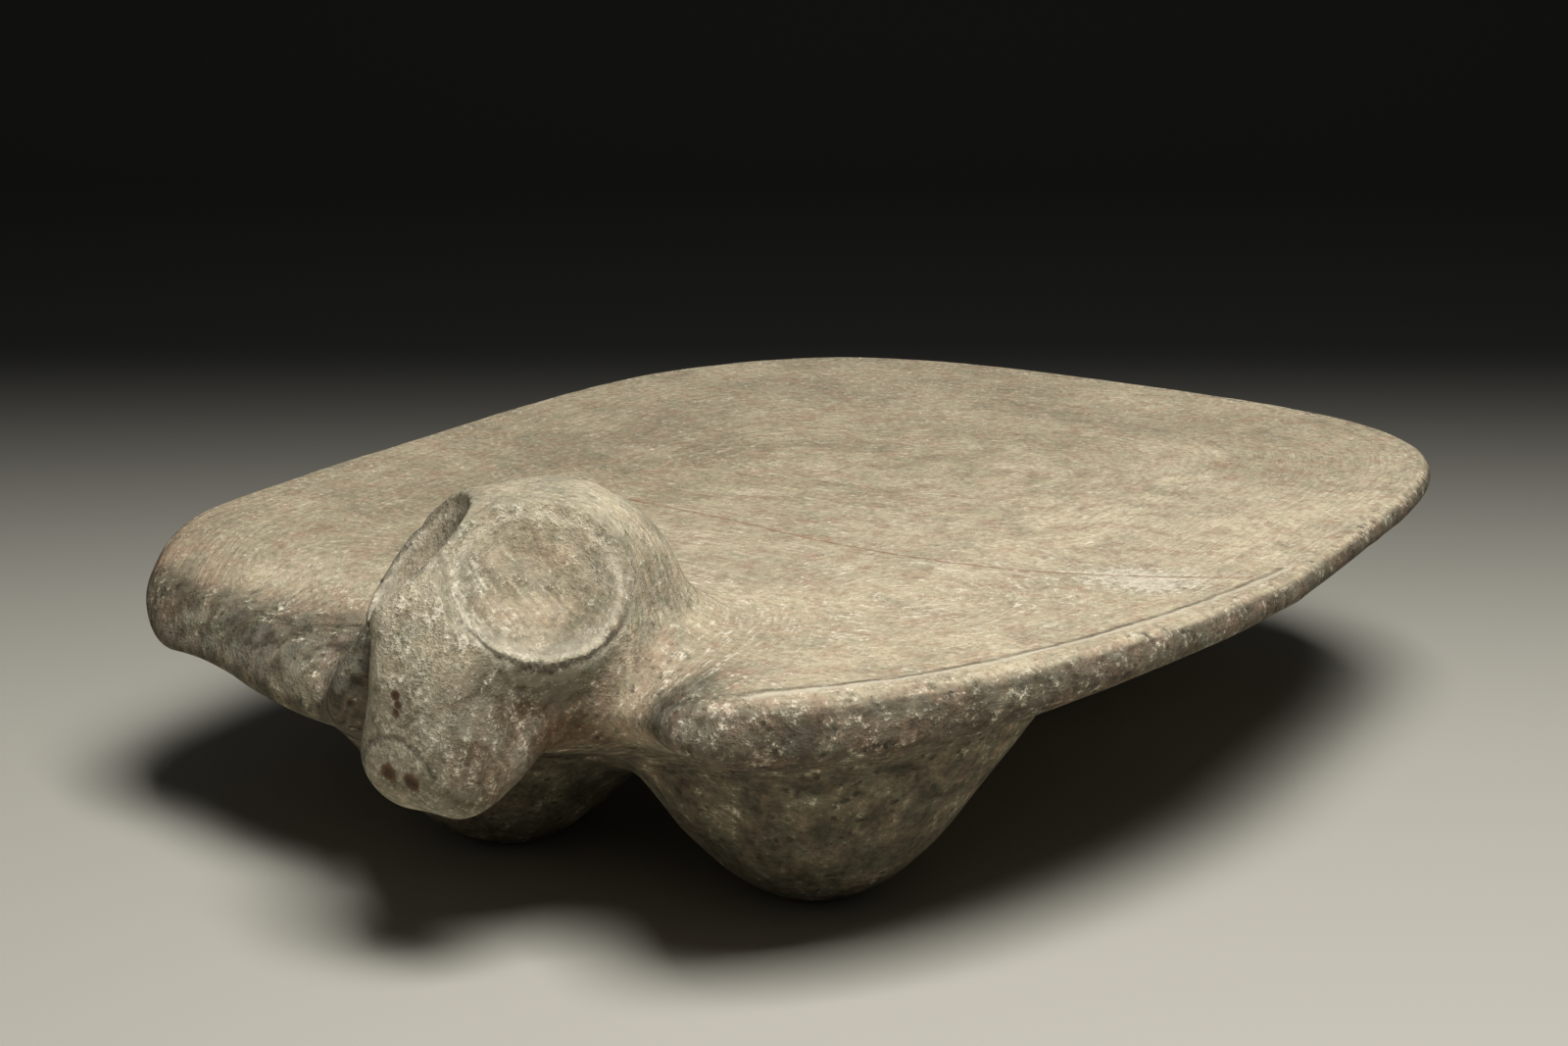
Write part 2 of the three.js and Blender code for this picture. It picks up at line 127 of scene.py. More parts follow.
# Lines cut into the top, in millimetres across and back from the plate's front: the line along the
# near rim and a long scratch, each with the places between which it runs, and a distance that no
# mark reaches.
LINE_ACROSS = (72, 81, 91, 99, 106, 115, 121, 128, 134, 140, 143, 147, 150, 153, 154)
LINE_BACK = (18, 24, 32, 42, 55, 66, 80, 95, 111, 129, 153, 177, 195, 220, 246)
LINE_BEND, LINE_START, LINE_END, LINE_INNER, LINE_LOW = 5, 23, 208, 60, 83
SCRATCH_ACROSS = (-59, -35, -11, 17, 42, 65, 88, 116, 146)
SCRATCH_BACK = (175, 173, 170, 166, 163, 164, 170, 178, 192)
SCRATCH_BEND, SCRATCH_START, SCRATCH_END, SCRATCH_LOW = 4, -62, 150, 80
FAR_OFF = 99.0

# Soft round marks: middle across and back, and spread across and back, in millimetres.
SPOTS = {
    # far_tip darkens the far lobe's end: partly a brown stain and partly painted shade where it turns away
    # from the lamp.
    "groove": (47, 20, 11, 20), "lobe_corner": (66, 18, 12, 22), "far_tip": (-164, 56, 26, 36),
    "tip_stain": (-162, 54, 9, 24), "throat": (26, 20, 14, 22), "scuff": (121, 176, 17, 11),
    # golden_and_lit_side: a warm golden patch on the near side of the top, and partly painted light that
    # lightens that side where the light falls brighter.
    "green_patch": (64, 52, 26, 34), "golden_and_lit_side": (105, 245, 65, 85),
    "golden_front": (60, 95, 70, 70), "grey_side": (-110, 200, 70, 110),
}
# Heights, places across and places back between which a mark fades in, in millimetres.
LEVELS = {
    "groove": (42, 66), "top": (72, 82), "lobe_corner": (45, 70), "crown": (86, 90), "snout": (36, 50),
    "sides": (72, 56), "jowl": (100, 84), "snout_side": (96, 84), "band": (66, 80),
    "under_neck": (84, 70), "throat": (40, 55), "cheek": (94, 102),
}
FAR_FACE_ACROSS, FAR_FACE_BACK, FACING_UP = (-28, -50), (64, 34), (0.60, 0.94)
SNOUT_ACROSS, SNOUT_BEHIND, SNOUT_SIDE, FAR_EYE_ACROSS = (34, 26), (24, 10), (6, 20), (-10, -16)
HEAD_FADE, EYE_FLOOR, EYE_FLOOR_DEPTH, FAR_EYE_REACH = (8, 0), (-1, -9), -9, 4
RING_MIDDLE, RING_SPREAD, BAND_MIDDLE, BAND_SPREAD, CHEEK_ACROSS, CHEEK_SPREAD = 2, 4, 3, 8, 40, 9
SWIRL_ACROSS, SWIRL_BACK, SWIRL_STRETCH = 72, 124, 1.15
# How much of each mark goes into each weathering. The dull skin is partly painted shade: it darkens the
# faces that turn down and those that turn away from the lamp, such as the lobes' fronts, the rim, the
# snout's side and the far tip.
BLENDS = {
    "low": {"sides": 1, "far_tip": 0.3},
    "dull": {"unworn": 1, "jowl": 0.22, "snout_side": 0.85, "far_tip": 0.9, "eye_floor": 0.28,
             "cheek": 0.45, "lobe_corner": 0.4},
    # The golden near side is partly painted light.
    "warm": {"golden_and_lit_side": 1.3, "golden_front": 0.55, "grey_side": -0.45, "head": 0.8, "groove": 0.6},
    "crust": {"snout": 0.5, "ring": 0.4, "band": 0.2, "scuff": 2.6},
    "moss": {"far_face": 0.9, "lobe_corner": 0.8, "head": 0.85, "band": 0.35},
    "rust": {"tip_stain": 0.8, "far_tip": 0.2, "groove": 0.22, "throat": 0.6, "eye_floor": 0.25,
             "far_eye": 0.35, "snout_side": 0.3},
}
# How much one mark takes from another.
CORNER_FROM_WORN, SNOUT_FROM_SIDES, GROOVE_FROM_SIDES, WORN_FROM_TIP = 0.85, 0.8, 0.9, 0.5
SIDE_FROM_SNOUT, LOW_FROM_MOSS, GREEN_PATCH = 0.6, 0.7, 0.6

# Bands all round an eye's bowl and below it: distance outside the bowl, half width, colour and
# strength. All round: a dull band just inside the rim, which is painted shade in the bowl, a pale
# lip and grey-green outside. Below: a pale crescent on the bowl's lower wall, which is painted light
# where that wall faces up, a dark line just outside the ring, which is painted shadow under its
# lower edge, and a pale lip beyond.
EYE_RIM = ((-3.6, 3.4, "dull", 0.16), (-0.4, 1.2, "crust", 0.3), (3.6, 3.4, "moss", 0.3))
UNDERCUT = ((-2.8, 3.0, "crust", 0.2), (1.9, 0.9, "pit", 0.7), (3.4, 0.8, "crust", 0.3))
EYE_BELOW = (104, 97)
# On the snout's face, across, up and reach: two nostrils, three pits above them, and the crease,
# which shows only above a height. Places back are in the solid's own frame here.
SNOUT_PITS = ((-5.0, 60.8, 3.0), (2.2, 59.4, 3.0), (-1.6, 82.6, 1.8),
              (-0.9, 80.2, 1.6), (-1.5, 78.0, 1.5))
CREASE, CREASE_LOW, SNOUT_FACE = (-3.0, 57.5, 13.3), (58, 62), (-196, -200)
# Sizes of the grain in millimetres, each with its detail and roughness. Andesite's crystals are
# 0.2 to 1 mm wide, so the grain and the flecks are drawn about twice as coarse, to show at all.
GRAINS = {"cloud": (42, 4, 0.55), "blotch": (17, 6, 0.66), "patch": (6, 6, 0.72),
          "grain": (2.1, 4, 0.75), "fleck": (0.9, 2, 0.65)}
BLUSH_SIZE, BEND, PIT_SPACING, POCK_SPACING = 9, 3.4, 3.6, 6.5
# The carver's strokes: a width of 1.3 to 1.7 mm for each run of them, and a length of 12 mm.
STROKE_WIDTHS, STROKE_LENGTH = {"rim": 1.3, "swirl": 1.7, "neck": 1.6, "root": 1.5}, 12
STROKE_REACHES = {"swirl": (72, 36), "neck": (52, 24), "root": (46, 14)}
# Waves of the hand-worked skin: size in millimetres, seed, and share on worn and on unworn skin.
WAVES = ((52, 3.1, 0.7, 0.7), (19, 5.7, 0.225, 0.5), (8, 1.9, 0.135, 0.3))


def linear(code):
    """Linear colour of an sRGB hex value."""
    parts = [int(code[i:i + 2], 16) / 255 for i in (1, 3, 5)]
    return tuple(c / 12.92 if c <= 0.04045 else ((c + 0.055) / 1.055) ** 2.4 for c in parts)


class StoneShape(bpy.types.PropertyGroup):
    """Main sizes of the stone."""
    length: FloatProperty(
        name="Plate length", description="From the lobes' front to the back edge",
        default=0.410, min=0.2, max=0.8, unit="LENGTH")
    width: FloatProperty(
        name="Plate width", description="Across the widest part of the plate",
        default=0.326, min=0.15, max=0.6, unit="LENGTH")
    top: FloatProperty(
        name="Plate height", description="From the floor to the grinding surface",
        default=0.089, min=0.05, max=0.2, unit="LENGTH")
    head_top: FloatProperty(
        name="Head height", description="From the floor to the top of the crown",
        default=0.128, min=0.09, max=0.25, unit="LENGTH")
    dish_radius: FloatProperty(
        name="Eye dish radius", description="Radius of the round bowl of the near eye",
        default=0.022, min=0.01, max=0.04, unit="LENGTH")
    dish_depth: FloatProperty(
        name="Eye dish depth", description="How deep the eye bowls are",
        default=0.0065, min=0.001, max=0.01, unit="LENGTH")
    unevenness: FloatProperty(
        name="Unevenness", description="How far the hand-worked skin strays from a true surface",
        default=0.0006, min=0.0, max=0.002, unit="LENGTH")


class StoneColours(bpy.types.PropertyGroup):
    """Colours of the weathered stone."""
    tan: FloatVectorProperty(
        name="Worn face", description="The rubbed grey-tan of the grinding surface",
        default=linear("#a3977b"), subtype="COLOR", min=0, max=1)
    golden: FloatVectorProperty(
        name="Golden patches", description="Warmer, lighter patches of the worn face",
        default=linear("#d6c7a7"), subtype="COLOR", min=0, max=1)
    moss: FloatVectorProperty(
        name="Grey-green", description="Grey-green weathering in the hollows of the grain",
        default=linear("#77755f"), subtype="COLOR", min=0, max=1)
    # Partly the unworn stone's own dull grey-brown and partly painted shade: it darkens the faces turned
    # down and away from the lamp.
    dull: FloatVectorProperty(
        name="Unworn skin", description="Dull grey-brown of the lobes' faces, the rim and the snout",
        default=linear("#534938"), subtype="COLOR", min=0, max=1)
    brown: FloatVectorProperty(
        name="Low parts", description="The browner stone of the lower sides and the feet",
        default=linear("#706955"), subtype="COLOR", min=0, max=1)
    blush: FloatVectorProperty(
        name="Pink-brown", description="Pinkish brown between the pale and the grey-green grain",
        default=linear("#ab8a72"), subtype="COLOR", min=0, max=1)
    crust: FloatVectorProperty(
        name="Pale crust", description="Whitish mineral crust and scuffs",
        default=linear("#d9d0ba"), subtype="COLOR", min=0, max=1)
    # The dark colour in the pits, the cut line, the snout's nostrils and crease and the dark specks of the
    # grain, and the painted shadow line under each eye's ring.
    pit: FloatVectorProperty(
        name="Pits", description="Dirt at the bottom of the pits",
        default=linear("#352d22"), subtype="COLOR", min=0, max=1)
    rust: FloatVectorProperty(
        name="Rust stain", description="Orange-brown iron stain",
        default=linear("#8a5b38"), subtype="COLOR", min=0, max=1)


class StudioSettings(bpy.types.PropertyGroup):
    """Floor and light."""
    floor: FloatVectorProperty(
        name="Floor", description="Colour of the pale floor in front",
        default=linear("#b4b0a4"), subtype="COLOR", min=0, max=1)
    # The colour the floor fades to behind: painted shade of the unlit back of the studio.
    painted_shade_behind: FloatVectorProperty(
        name="Backdrop", description="Colour of the dark cloth behind",
        default=linear("#232321"), subtype="COLOR", min=0, max=1)
    key_power: FloatProperty(
        name="Lamp", description="Power of the soft lamp above",
        default=20.0, min=0.0, max=200.0, unit="POWER")
    key_size: FloatProperty(
        name="Lamp size", description="Side of the soft lamp",
        default=0.55, min=0.05, max=3.0, unit="LENGTH")
    fill: FloatProperty(
        name="Room light", description="Strength of the even light from all round",
        default=0.052, min=0.0, max=1.0)


# Shape

def eased(value, start, end):
    """0 before start, 1 after end, and an S-shaped rise between them: 3s^2 - 2s^3."""
    share = np.clip((value - start) / (end - start), 0, 1)
    return share * share * (3 - 2 * share)


def join(a, b, reach):
    """Smooth union of two distances: the lower one, minus reach*s*(1-s) where they are close."""
    share = np.clip((1 + (b - a) / reach) / 2, 0, 1)
    return b + (a - b) * share - reach * share * (1 - share)


def meet(a, b, reach):
    """Smooth overlap: the union turned inside out."""
    return -join(-a, -b, reach)


def lobe_share(y):
    """How strongly the front lobes thicken the rim: exp(-(y past the lobes / fade)^power)."""
    return np.exp(-((np.maximum(y - LOBE_REACH, 0) / LOBE_FADE) ** LOBE_POWER))


def rim_thickness(x, y):
    """Thin at the back, thicker along the sides, and thickest at the lobes, the far one above all."""
    lobe = LOBE_THICKNESS + FAR_THICKNESS * eased(-x, BAY_HALF_WIDTH / 2, BAY_HALF_WIDTH)
    return RIM_THICKNESS + SIDE_THICKNESS * np.exp(-((y / SIDE_FADE) ** 2)) + lobe * lobe_share(y)


class Carving:
    """The stone as a function of place: below zero inside, above zero outside."""

    def __init__(self, shape):
        self.length, self.width, self.top, self.head_top, self.dish_radius, self.dish_depth = (
            value / MM for value in (shape.length, shape.width, shape.top, shape.head_top,
                                     shape.dish_radius, shape.dish_depth))

    def edge(self, x, y, z):
        """Distance outside the plate's outline and how full the outline is at the place.
        The outline is an oval |x|^p + |y|^q = 1, less the bay where the head stands."""
        half_width, half_length = self.width / 2, self.length / 2
        along = y - half_length
        # The near side draws in towards the back, and its back corner is the squarer one.
        near = eased(x, -BAY_HALF_WIDTH, BAY_HALF_WIDTH)
        drawn_in = near * np.maximum(along, 0) / half_length
        half_width = half_width - NEAR_TAPER * drawn_in
        along = along + NEAR_LEAN * np.maximum(x, 0) * eased(along, 0, half_length / 2)
        across_share, along_share = np.abs(x + PLATE_OFFSET) / half_width, np.abs(along) / half_length
        corner = FRONT_POWER + (MOSSY_FRONT_POWER - FRONT_POWER) * (1 - near)
        power = np.where(along < 0, corner, BACK_POWER + (NEAR_BACK_POWER - BACK_POWER) * near)
        fill = across_share ** SIDE_POWER + along_share ** power
        slope = np.hypot(SIDE_POWER * across_share ** (SIDE_POWER - 1) / half_width,
                         power * along_share ** (power - 1) / half_length)
        outward = (fill - 1) / np.maximum(slope, 1 / SEARCH_REACH)
        rise = np.clip((z - BAY_FLARE_START) / (self.top - BAY_FLARE_START), 0, BAY_FLARE_MOST)
        side = np.abs(x) - BAY_HALF_WIDTH - BAY_FLARE * rise
        back = y - BAY_DEPTH - BAY_LEAN * rise * rise
        return meet(outward, -meet(side, back, BAY_CORNER), BAY_EDGE), fill

    def plate(self, x, y, z):
        """Rounded above the widest level by a circle's arc and below it by a power curve."""
        outward, fill = self.edge(x, y, z)
        lobe, rim = lobe_share(y), rim_thickness(x, y)
        middle = FRONT_THICKNESS - (FRONT_THICKNESS - BACK_THICKNESS) * eased(y, THIN_START, THIN_END)
        inner = np.clip(1 - fill, 0, 1)
        thickness = rim + np.maximum(middle - rim, 0) * inner ** BELLY_POWER
        top = self.top - TOP_HOLLOW * inner
        drop = np.minimum(EDGE_DROP_SHARE * rim, EDGE_DROP)
        widest = self.top - drop
        above = TOP_ROUND + LOBE_TOP_ROUND * lobe
        below = UNDER_ROUND + LOBE_UNDER_ROUND * lobe
        upper = (np.hypot(np.maximum(1 + outward / above, 0), (z - widest) / (top - widest)) - 1) * above
        depth = np.maximum((widest - z) / (thickness - drop), 0)
        inset = np.maximum(1 + outward / below, 0)
        lower = ((inset ** UNDER_POWER + depth ** UNDER_POWER) ** (1 / UNDER_POWER) - 1) * below
        # The far lobe's front is one broad slope.
        slope = (z - self.top + FAR_SLOPE * (FAR_SLOPE_BACK - y)) / math.hypot(1, FAR_SLOPE)
        slope = slope - FAR_SLOPE_BACK * eased(x, -FAR_SLOPE_BACK, -FAR_SLOPE_BACK / 2)
        return meet(np.where(z > widest, upper, lower), slope, FAR_SLOPE_ROUND)

    @staticmethod
    def foot(x, y, z, tip_radius):
        """A bowl-shaped foot, z = r^2 / (2 tip radius), that stops inside the plate."""
        aside = np.hypot(x, y)
        over = (aside ** 2 / (2 * tip_radius) - z - FOOT_CUT) / np.hypot(1, aside / tip_radius)
        return meet(over, z - FOOT_TOP, FOOT_TOP_ROUND)

    def feet(self, x, y, z):
        """The two front feet, run into each other, and the rear foot."""
        right = self.foot(x - FOOT_ACROSS, y - FOOT_BACK - FOOT_STAGGER, z, FOOT_TIP_RADIUS)
        left = self.foot(x + FOOT_ACROSS, y - FOOT_BACK + FOOT_STAGGER, z, FOOT_TIP_RADIUS)
        rear = self.foot(x, y - REAR_FOOT_BACK, z, REAR_FOOT_TIP_RADIUS)
        return np.minimum(join(right, left, FOOT_PAIR_BLEND), rear)

    def from_dish(self, x, y, z):
        """Height above the dish's rim plane, distance from its axis, and its radius."""
        out = np.stack([np.abs(x) - DISH_ACROSS, y - DISH_BACK, z - DISH_HEIGHT])
        above = np.tensordot(EYE_DIRECTION, out, 1)
        aside = np.sqrt(np.maximum((out ** 2).sum(0) - above ** 2, 0))
        return above, aside, self.dish_radius - MOSSY_EYE_SHRINK * (x < 0)

    def head(self, x, y, z):
        """A ball for the crown, a round-edged disc under each eye, and a round-edged post."""
        half_height = self.head_top - CROWN_MIDDLE
        radii = (CROWN_HALF_WIDTH, CROWN_HALF_DEPTH, half_height)
        place = (x, y - CROWN_BACK, z - CROWN_MIDDLE)
        far = np.sqrt(sum((p / r) ** 2 for p, r in zip(place, radii)))
        slope = np.sqrt(sum((p / r ** 2) ** 2 for p, r in zip(place, radii)))
        crown = far * (far - 1) / np.maximum(slope, 1e-9)
        above, aside, radius = self.from_dish(x, y, z)
        out_above = np.abs(above + RING_HALF_DEPTH) - RING_HALF_DEPTH + RING_ROUND
        out_aside = aside - radius - DISH_RIM + RING_ROUND
        ring = (np.hypot(np.maximum(out_above, 0), np.maximum(out_aside, 0))
                + np.minimum(np.maximum(out_above, out_aside), 0) - RING_ROUND)
        waist = SNOUT_WAIST * np.exp(-(((z - SNOUT_WAIST_HEIGHT) / SNOUT_WAIST_SPREAD) ** 2))
        lean = BROW_LEAN * np.clip((z - BROW_START) / BROW_SPAN, 0, 1) ** BROW_POWER
        chin = CHIN_RISE * np.maximum(y, 0) * (1 - eased(z, CHIN_HEIGHT, BROW_START))
        post = np.stack([
            np.abs(x * SNOUT_HALF_WIDTH / (SNOUT_HALF_WIDTH - waist)) - SNOUT_HALF_WIDTH,
            np.abs(y - lean - (SNOUT_BACK - NOSE_REACH) / 2) - (SNOUT_BACK + NOSE_REACH) / 2,
            np.abs(z - chin - (SNOUT_TOP + CHIN_HEIGHT) / 2) - (SNOUT_TOP - CHIN_HEIGHT) / 2,
        ]) + SNOUT_ROUND
        snout = (np.sqrt((np.maximum(post, 0) ** 2).sum(0)) + np.minimum(post.max(0), 0)
                 - SNOUT_ROUND)
        upper = join(crown, ring, CROWN_BLEND)
        return meet(join(upper, snout, SNOUT_BLEND), z - self.head_top, BROW_BLEND)

    def solid(self, points):
        """Plate, feet and head run into each other, and a ball hollows each eye."""
        x, y, z = points.T
        stone = join(self.plate(x, y, z), self.feet(x, y, z), FOOT_BLEND)
        stone = join(stone, self.head(x, y, z), HEAD_BLEND)
        above, aside, radius = self.from_dish(x, y, z)
        bowl = (radius ** 2 + self.dish_depth ** 2) / (2 * self.dish_depth)
        hollow = np.hypot(aside, above - bowl + self.dish_depth) - bowl
        return meet(stone, -hollow, DISH_EDGE)

    def outward(self, points):
        """Unit normals: the solid's rise over a small step each way along X, Y and Z."""
        step = NORMAL_STEP * np.eye(3)
        rise = np.stack([self.solid(points + s) - self.solid(points - s) for s in step], axis=1)
        return rise / np.linalg.norm(rise, axis=1, keepdims=True)

    def crossings(self, start, direction):
        """Where each ray leaves the stone: the first even step outside it, closed in by halving."""
        near, far = np.zeros(len(start)), np.full(len(start), SEARCH_REACH)
        inside = np.arange(len(start))
        for step in range(1, SEARCH_STEPS + 1):
            reach = SEARCH_REACH * step / SEARCH_STEPS
            left = self.solid(start[inside] + direction[inside] * reach) > 0
            far[inside[left]] = reach
            inside = inside[~left]
            near[inside] = reach
            if not len(inside):
                break
        for _ in range(HALVINGS):
            middle = (near + far) / 2
            within = self.solid(start + direction * middle[:, None]) < 0
            near, far = np.where(within, middle, near), np.where(within, far, middle)
        return start + direction * far[:, None]


def plan_rows(carving):
    """Places on the plan's outline and on the inner sheet, from the nose round to the back."""
    bay_run, lobe_run = BAY_DEPTH + NOSE_REACH, carving.width / 2 - BAY_HALF_WIDTH
    head = (np.array(HEAD_ROWS) * np.tile([BAY_HALF_WIDTH, bay_run], 2)
            - np.tile([0, NOSE_REACH], 2))
    plate = np.array(PLATE_ROWS) * np.tile([lobe_run, carving.length], 2) + np.tile(
        [BAY_HALF_WIDTH, 0], 2)
    back = np.array(BACK_ROWS) * np.tile([carving.width / 2, carving.length], 2)
    return np.concatenate([head, plate, back])


def plan_columns(carving):
    """Each side's columns: a smooth curve through the rows, walked in steps that crowd at the head."""
    rows = plan_rows(carving)
    last = len(rows) - 1
    mirror = np.array([-1, 1, -1, 1])
    padded = np.concatenate([rows[1:2] * mirror, rows, rows[last - 1:last] * mirror])

    def curve(place):
        start = np.minimum(place.astype(int), last - 1)
        s = (place - start)[:, None]
        a, b, c, d = (padded[start + k] for k in range(4))
        return b + (s * (c - a) + s ** 2 * (2 * a - 5 * b + 4 * c - d)
                    + s ** 3 * (-a + 3 * b - 3 * c + d)) / 2

    places = np.linspace(0, last, last * CURVE_STEPS + 1)
    crowding = 1 + HEAD_CROWDING * np.exp(-(((places - HEAD_CROWDING_ROWS) / HEAD_CROWDING_ROWS) ** 2))
    steps = np.linalg.norm(np.diff(curve(places)[:, :2], axis=0), axis=1) * crowding[1:]
    walked = np.concatenate([[0], np.cumsum(steps)])
    half = COLUMNS // 2
    side = curve(np.interp(walked[-1] * np.arange(half + 1) / half, walked, places))
    side[[0, half], 0] = side[[0, half], 2] = 0
    return np.concatenate([side, side[half - 1:0:-1] * mirror])


def skin_points(carving):
    """The skin as a grid of ROWS + 1 by COLUMNS places: rays go straight up from a thin sheet
    inside the stone, fan over the rim and go straight down, and each column is spaced again."""
    plan = plan_columns(carving)
    front, back = plan[0, 3], plan[COLUMNS // 2, 3]
    spine = carving.length * (
        SPINE_FRONT + (SPINE_BACK - SPINE_FRONT) * (plan[:, 3] - front) / (back - front))
    shares = np.concatenate([np.arange(FLAT_RAYS) / FLAT_RAYS, np.ones(RIM_RAYS + 1),
                             np.arange(FLAT_RAYS - 1, -1, -1) / FLAT_RAYS])
    turns = np.concatenate([np.full(FLAT_RAYS, 0.5), 0.5 - np.arange(RIM_RAYS + 1) / RIM_RAYS,
                            np.full(FLAT_RAYS, -0.5)]) * math.pi
    sheet_x = np.outer(shares, plan[:, 2])
    sheet_y = spine + np.outer(shares, plan[:, 3] - spine)
    start = np.stack([sheet_x, sheet_y, carving.top - rim_thickness(sheet_x, sheet_y) / 2], axis=-1)
    out = plan[:, :2] - plan[:, 2:]
    out = out / np.linalg.norm(out, axis=1, keepdims=True)
    level, up = np.cos(turns)[:, None], np.broadcast_to(np.sin(turns)[:, None], sheet_x.shape)
    direction = np.stack([level * out[:, 0], level * out[:, 1], up], axis=-1)
    found = carving.crossings(start.reshape(-1, 3), direction.reshape(-1, 3)).reshape(start.shape)
    return respaced(found)


def respaced(grid):
    """Spaces each column evenly by its length, and closer together where it bends. All columns are
    read in one go, each with its own number before the point and its share walked behind it."""
    steps = np.diff(grid, axis=0)
    lengths = np.linalg.norm(steps, axis=2)
    units = steps / np.maximum(lengths, 1e-9)[..., None]
    turn = np.arccos(np.clip((units[1:] * units[:-1]).sum(2), -1, 1))
    turn = np.pad(turn, ((1, 1), (0, 0)))
    walked = np.cumsum(lengths + (turn[1:] + turn[:-1]) / 2 * BEND_REACH, axis=0)
    walked = np.concatenate([np.zeros((1, grid.shape[1])), walked / walked[-1]])
    column = np.arange(grid.shape[1])
    key = (column + walked * COLUMN_SPAN).T.ravel()
    goal = (column[:, None] + np.linspace(0, COLUMN_SPAN, ROWS + 1)).ravel()
    spaced = [np.interp(goal, key, grid[..., axis].T.ravel()) for axis in range(3)]
    return np.stack(spaced, axis=-1).reshape(grid.shape[1], ROWS + 1, 3).transpose(1, 0, 2)


def rolling_noise(points, size, seed):
    """Smooth noise from -1 to 1: random heights on a cubic lattice, blended with eased weights. A
    height is the part behind the point of a large sine of the corner's place, so it has no run."""
    scaled = points / size
    cell = np.floor(scaled)
    share = scaled - cell
    share = share * share * (3 - 2 * share)
    total = np.zeros(len(points))
    for corner in np.ndindex(2, 2, 2):
        weight = np.prod(np.where(corner, share, 1 - share), axis=1)
        mixed = np.sin((cell + corner) @ np.array([12.9898, 78.233, 37.719]) + seed) * 43758.5453
        total += weight * (2 * (mixed - np.floor(mixed)) - 1)
    return total


def closed_faces():
    """Quads of the grid, facing outwards. Its first and last rows fold onto the middle line."""
    half = COLUMNS // 2
    column = np.arange(COLUMNS)
    names = np.arange((ROWS + 1) * COLUMNS).reshape(ROWS + 1, COLUMNS)
    fold = np.minimum(column, (COLUMNS - column) % COLUMNS)
    names[0], names[ROWS] = names[0][fold], names[ROWS][fold]
    after = np.roll(names, -1, axis=1)
    quads = np.stack([names[:-1], names[1:], after[1:], after[:-1]], axis=-1).reshape(-1, 4)
    kept, numbers = np.unique(quads, return_inverse=True)
    return kept, numbers.reshape(-1, 4)


def blend(marks, name):
    """The marks of one weathering added up, each times its share."""
    return sum(share * marks[mark] for mark, share in BLENDS[name].items())


def cut_lines(x, y, z):
    """Distances from the line along the near rim, by its slope, and from the long scratch."""
    curve = np.polyfit(LINE_BACK, LINE_ACROSS, LINE_BEND)
    line = (np.polyval(curve, y) - x) / np.hypot(1, np.polyval(np.polyder(curve), y))
    on_line = (y > LINE_START) & (y < LINE_END) & (x > LINE_INNER) & (z > LINE_LOW)
    scratch = y - np.polyval(np.polyfit(SCRATCH_ACROSS, SCRATCH_BACK, SCRATCH_BEND), x)
    on_scratch = (x > SCRATCH_START) & (x < SCRATCH_END) & (z > SCRATCH_LOW)
    return np.where(on_line, line, FAR_OFF), np.where(on_scratch, scratch, FAR_OFF)


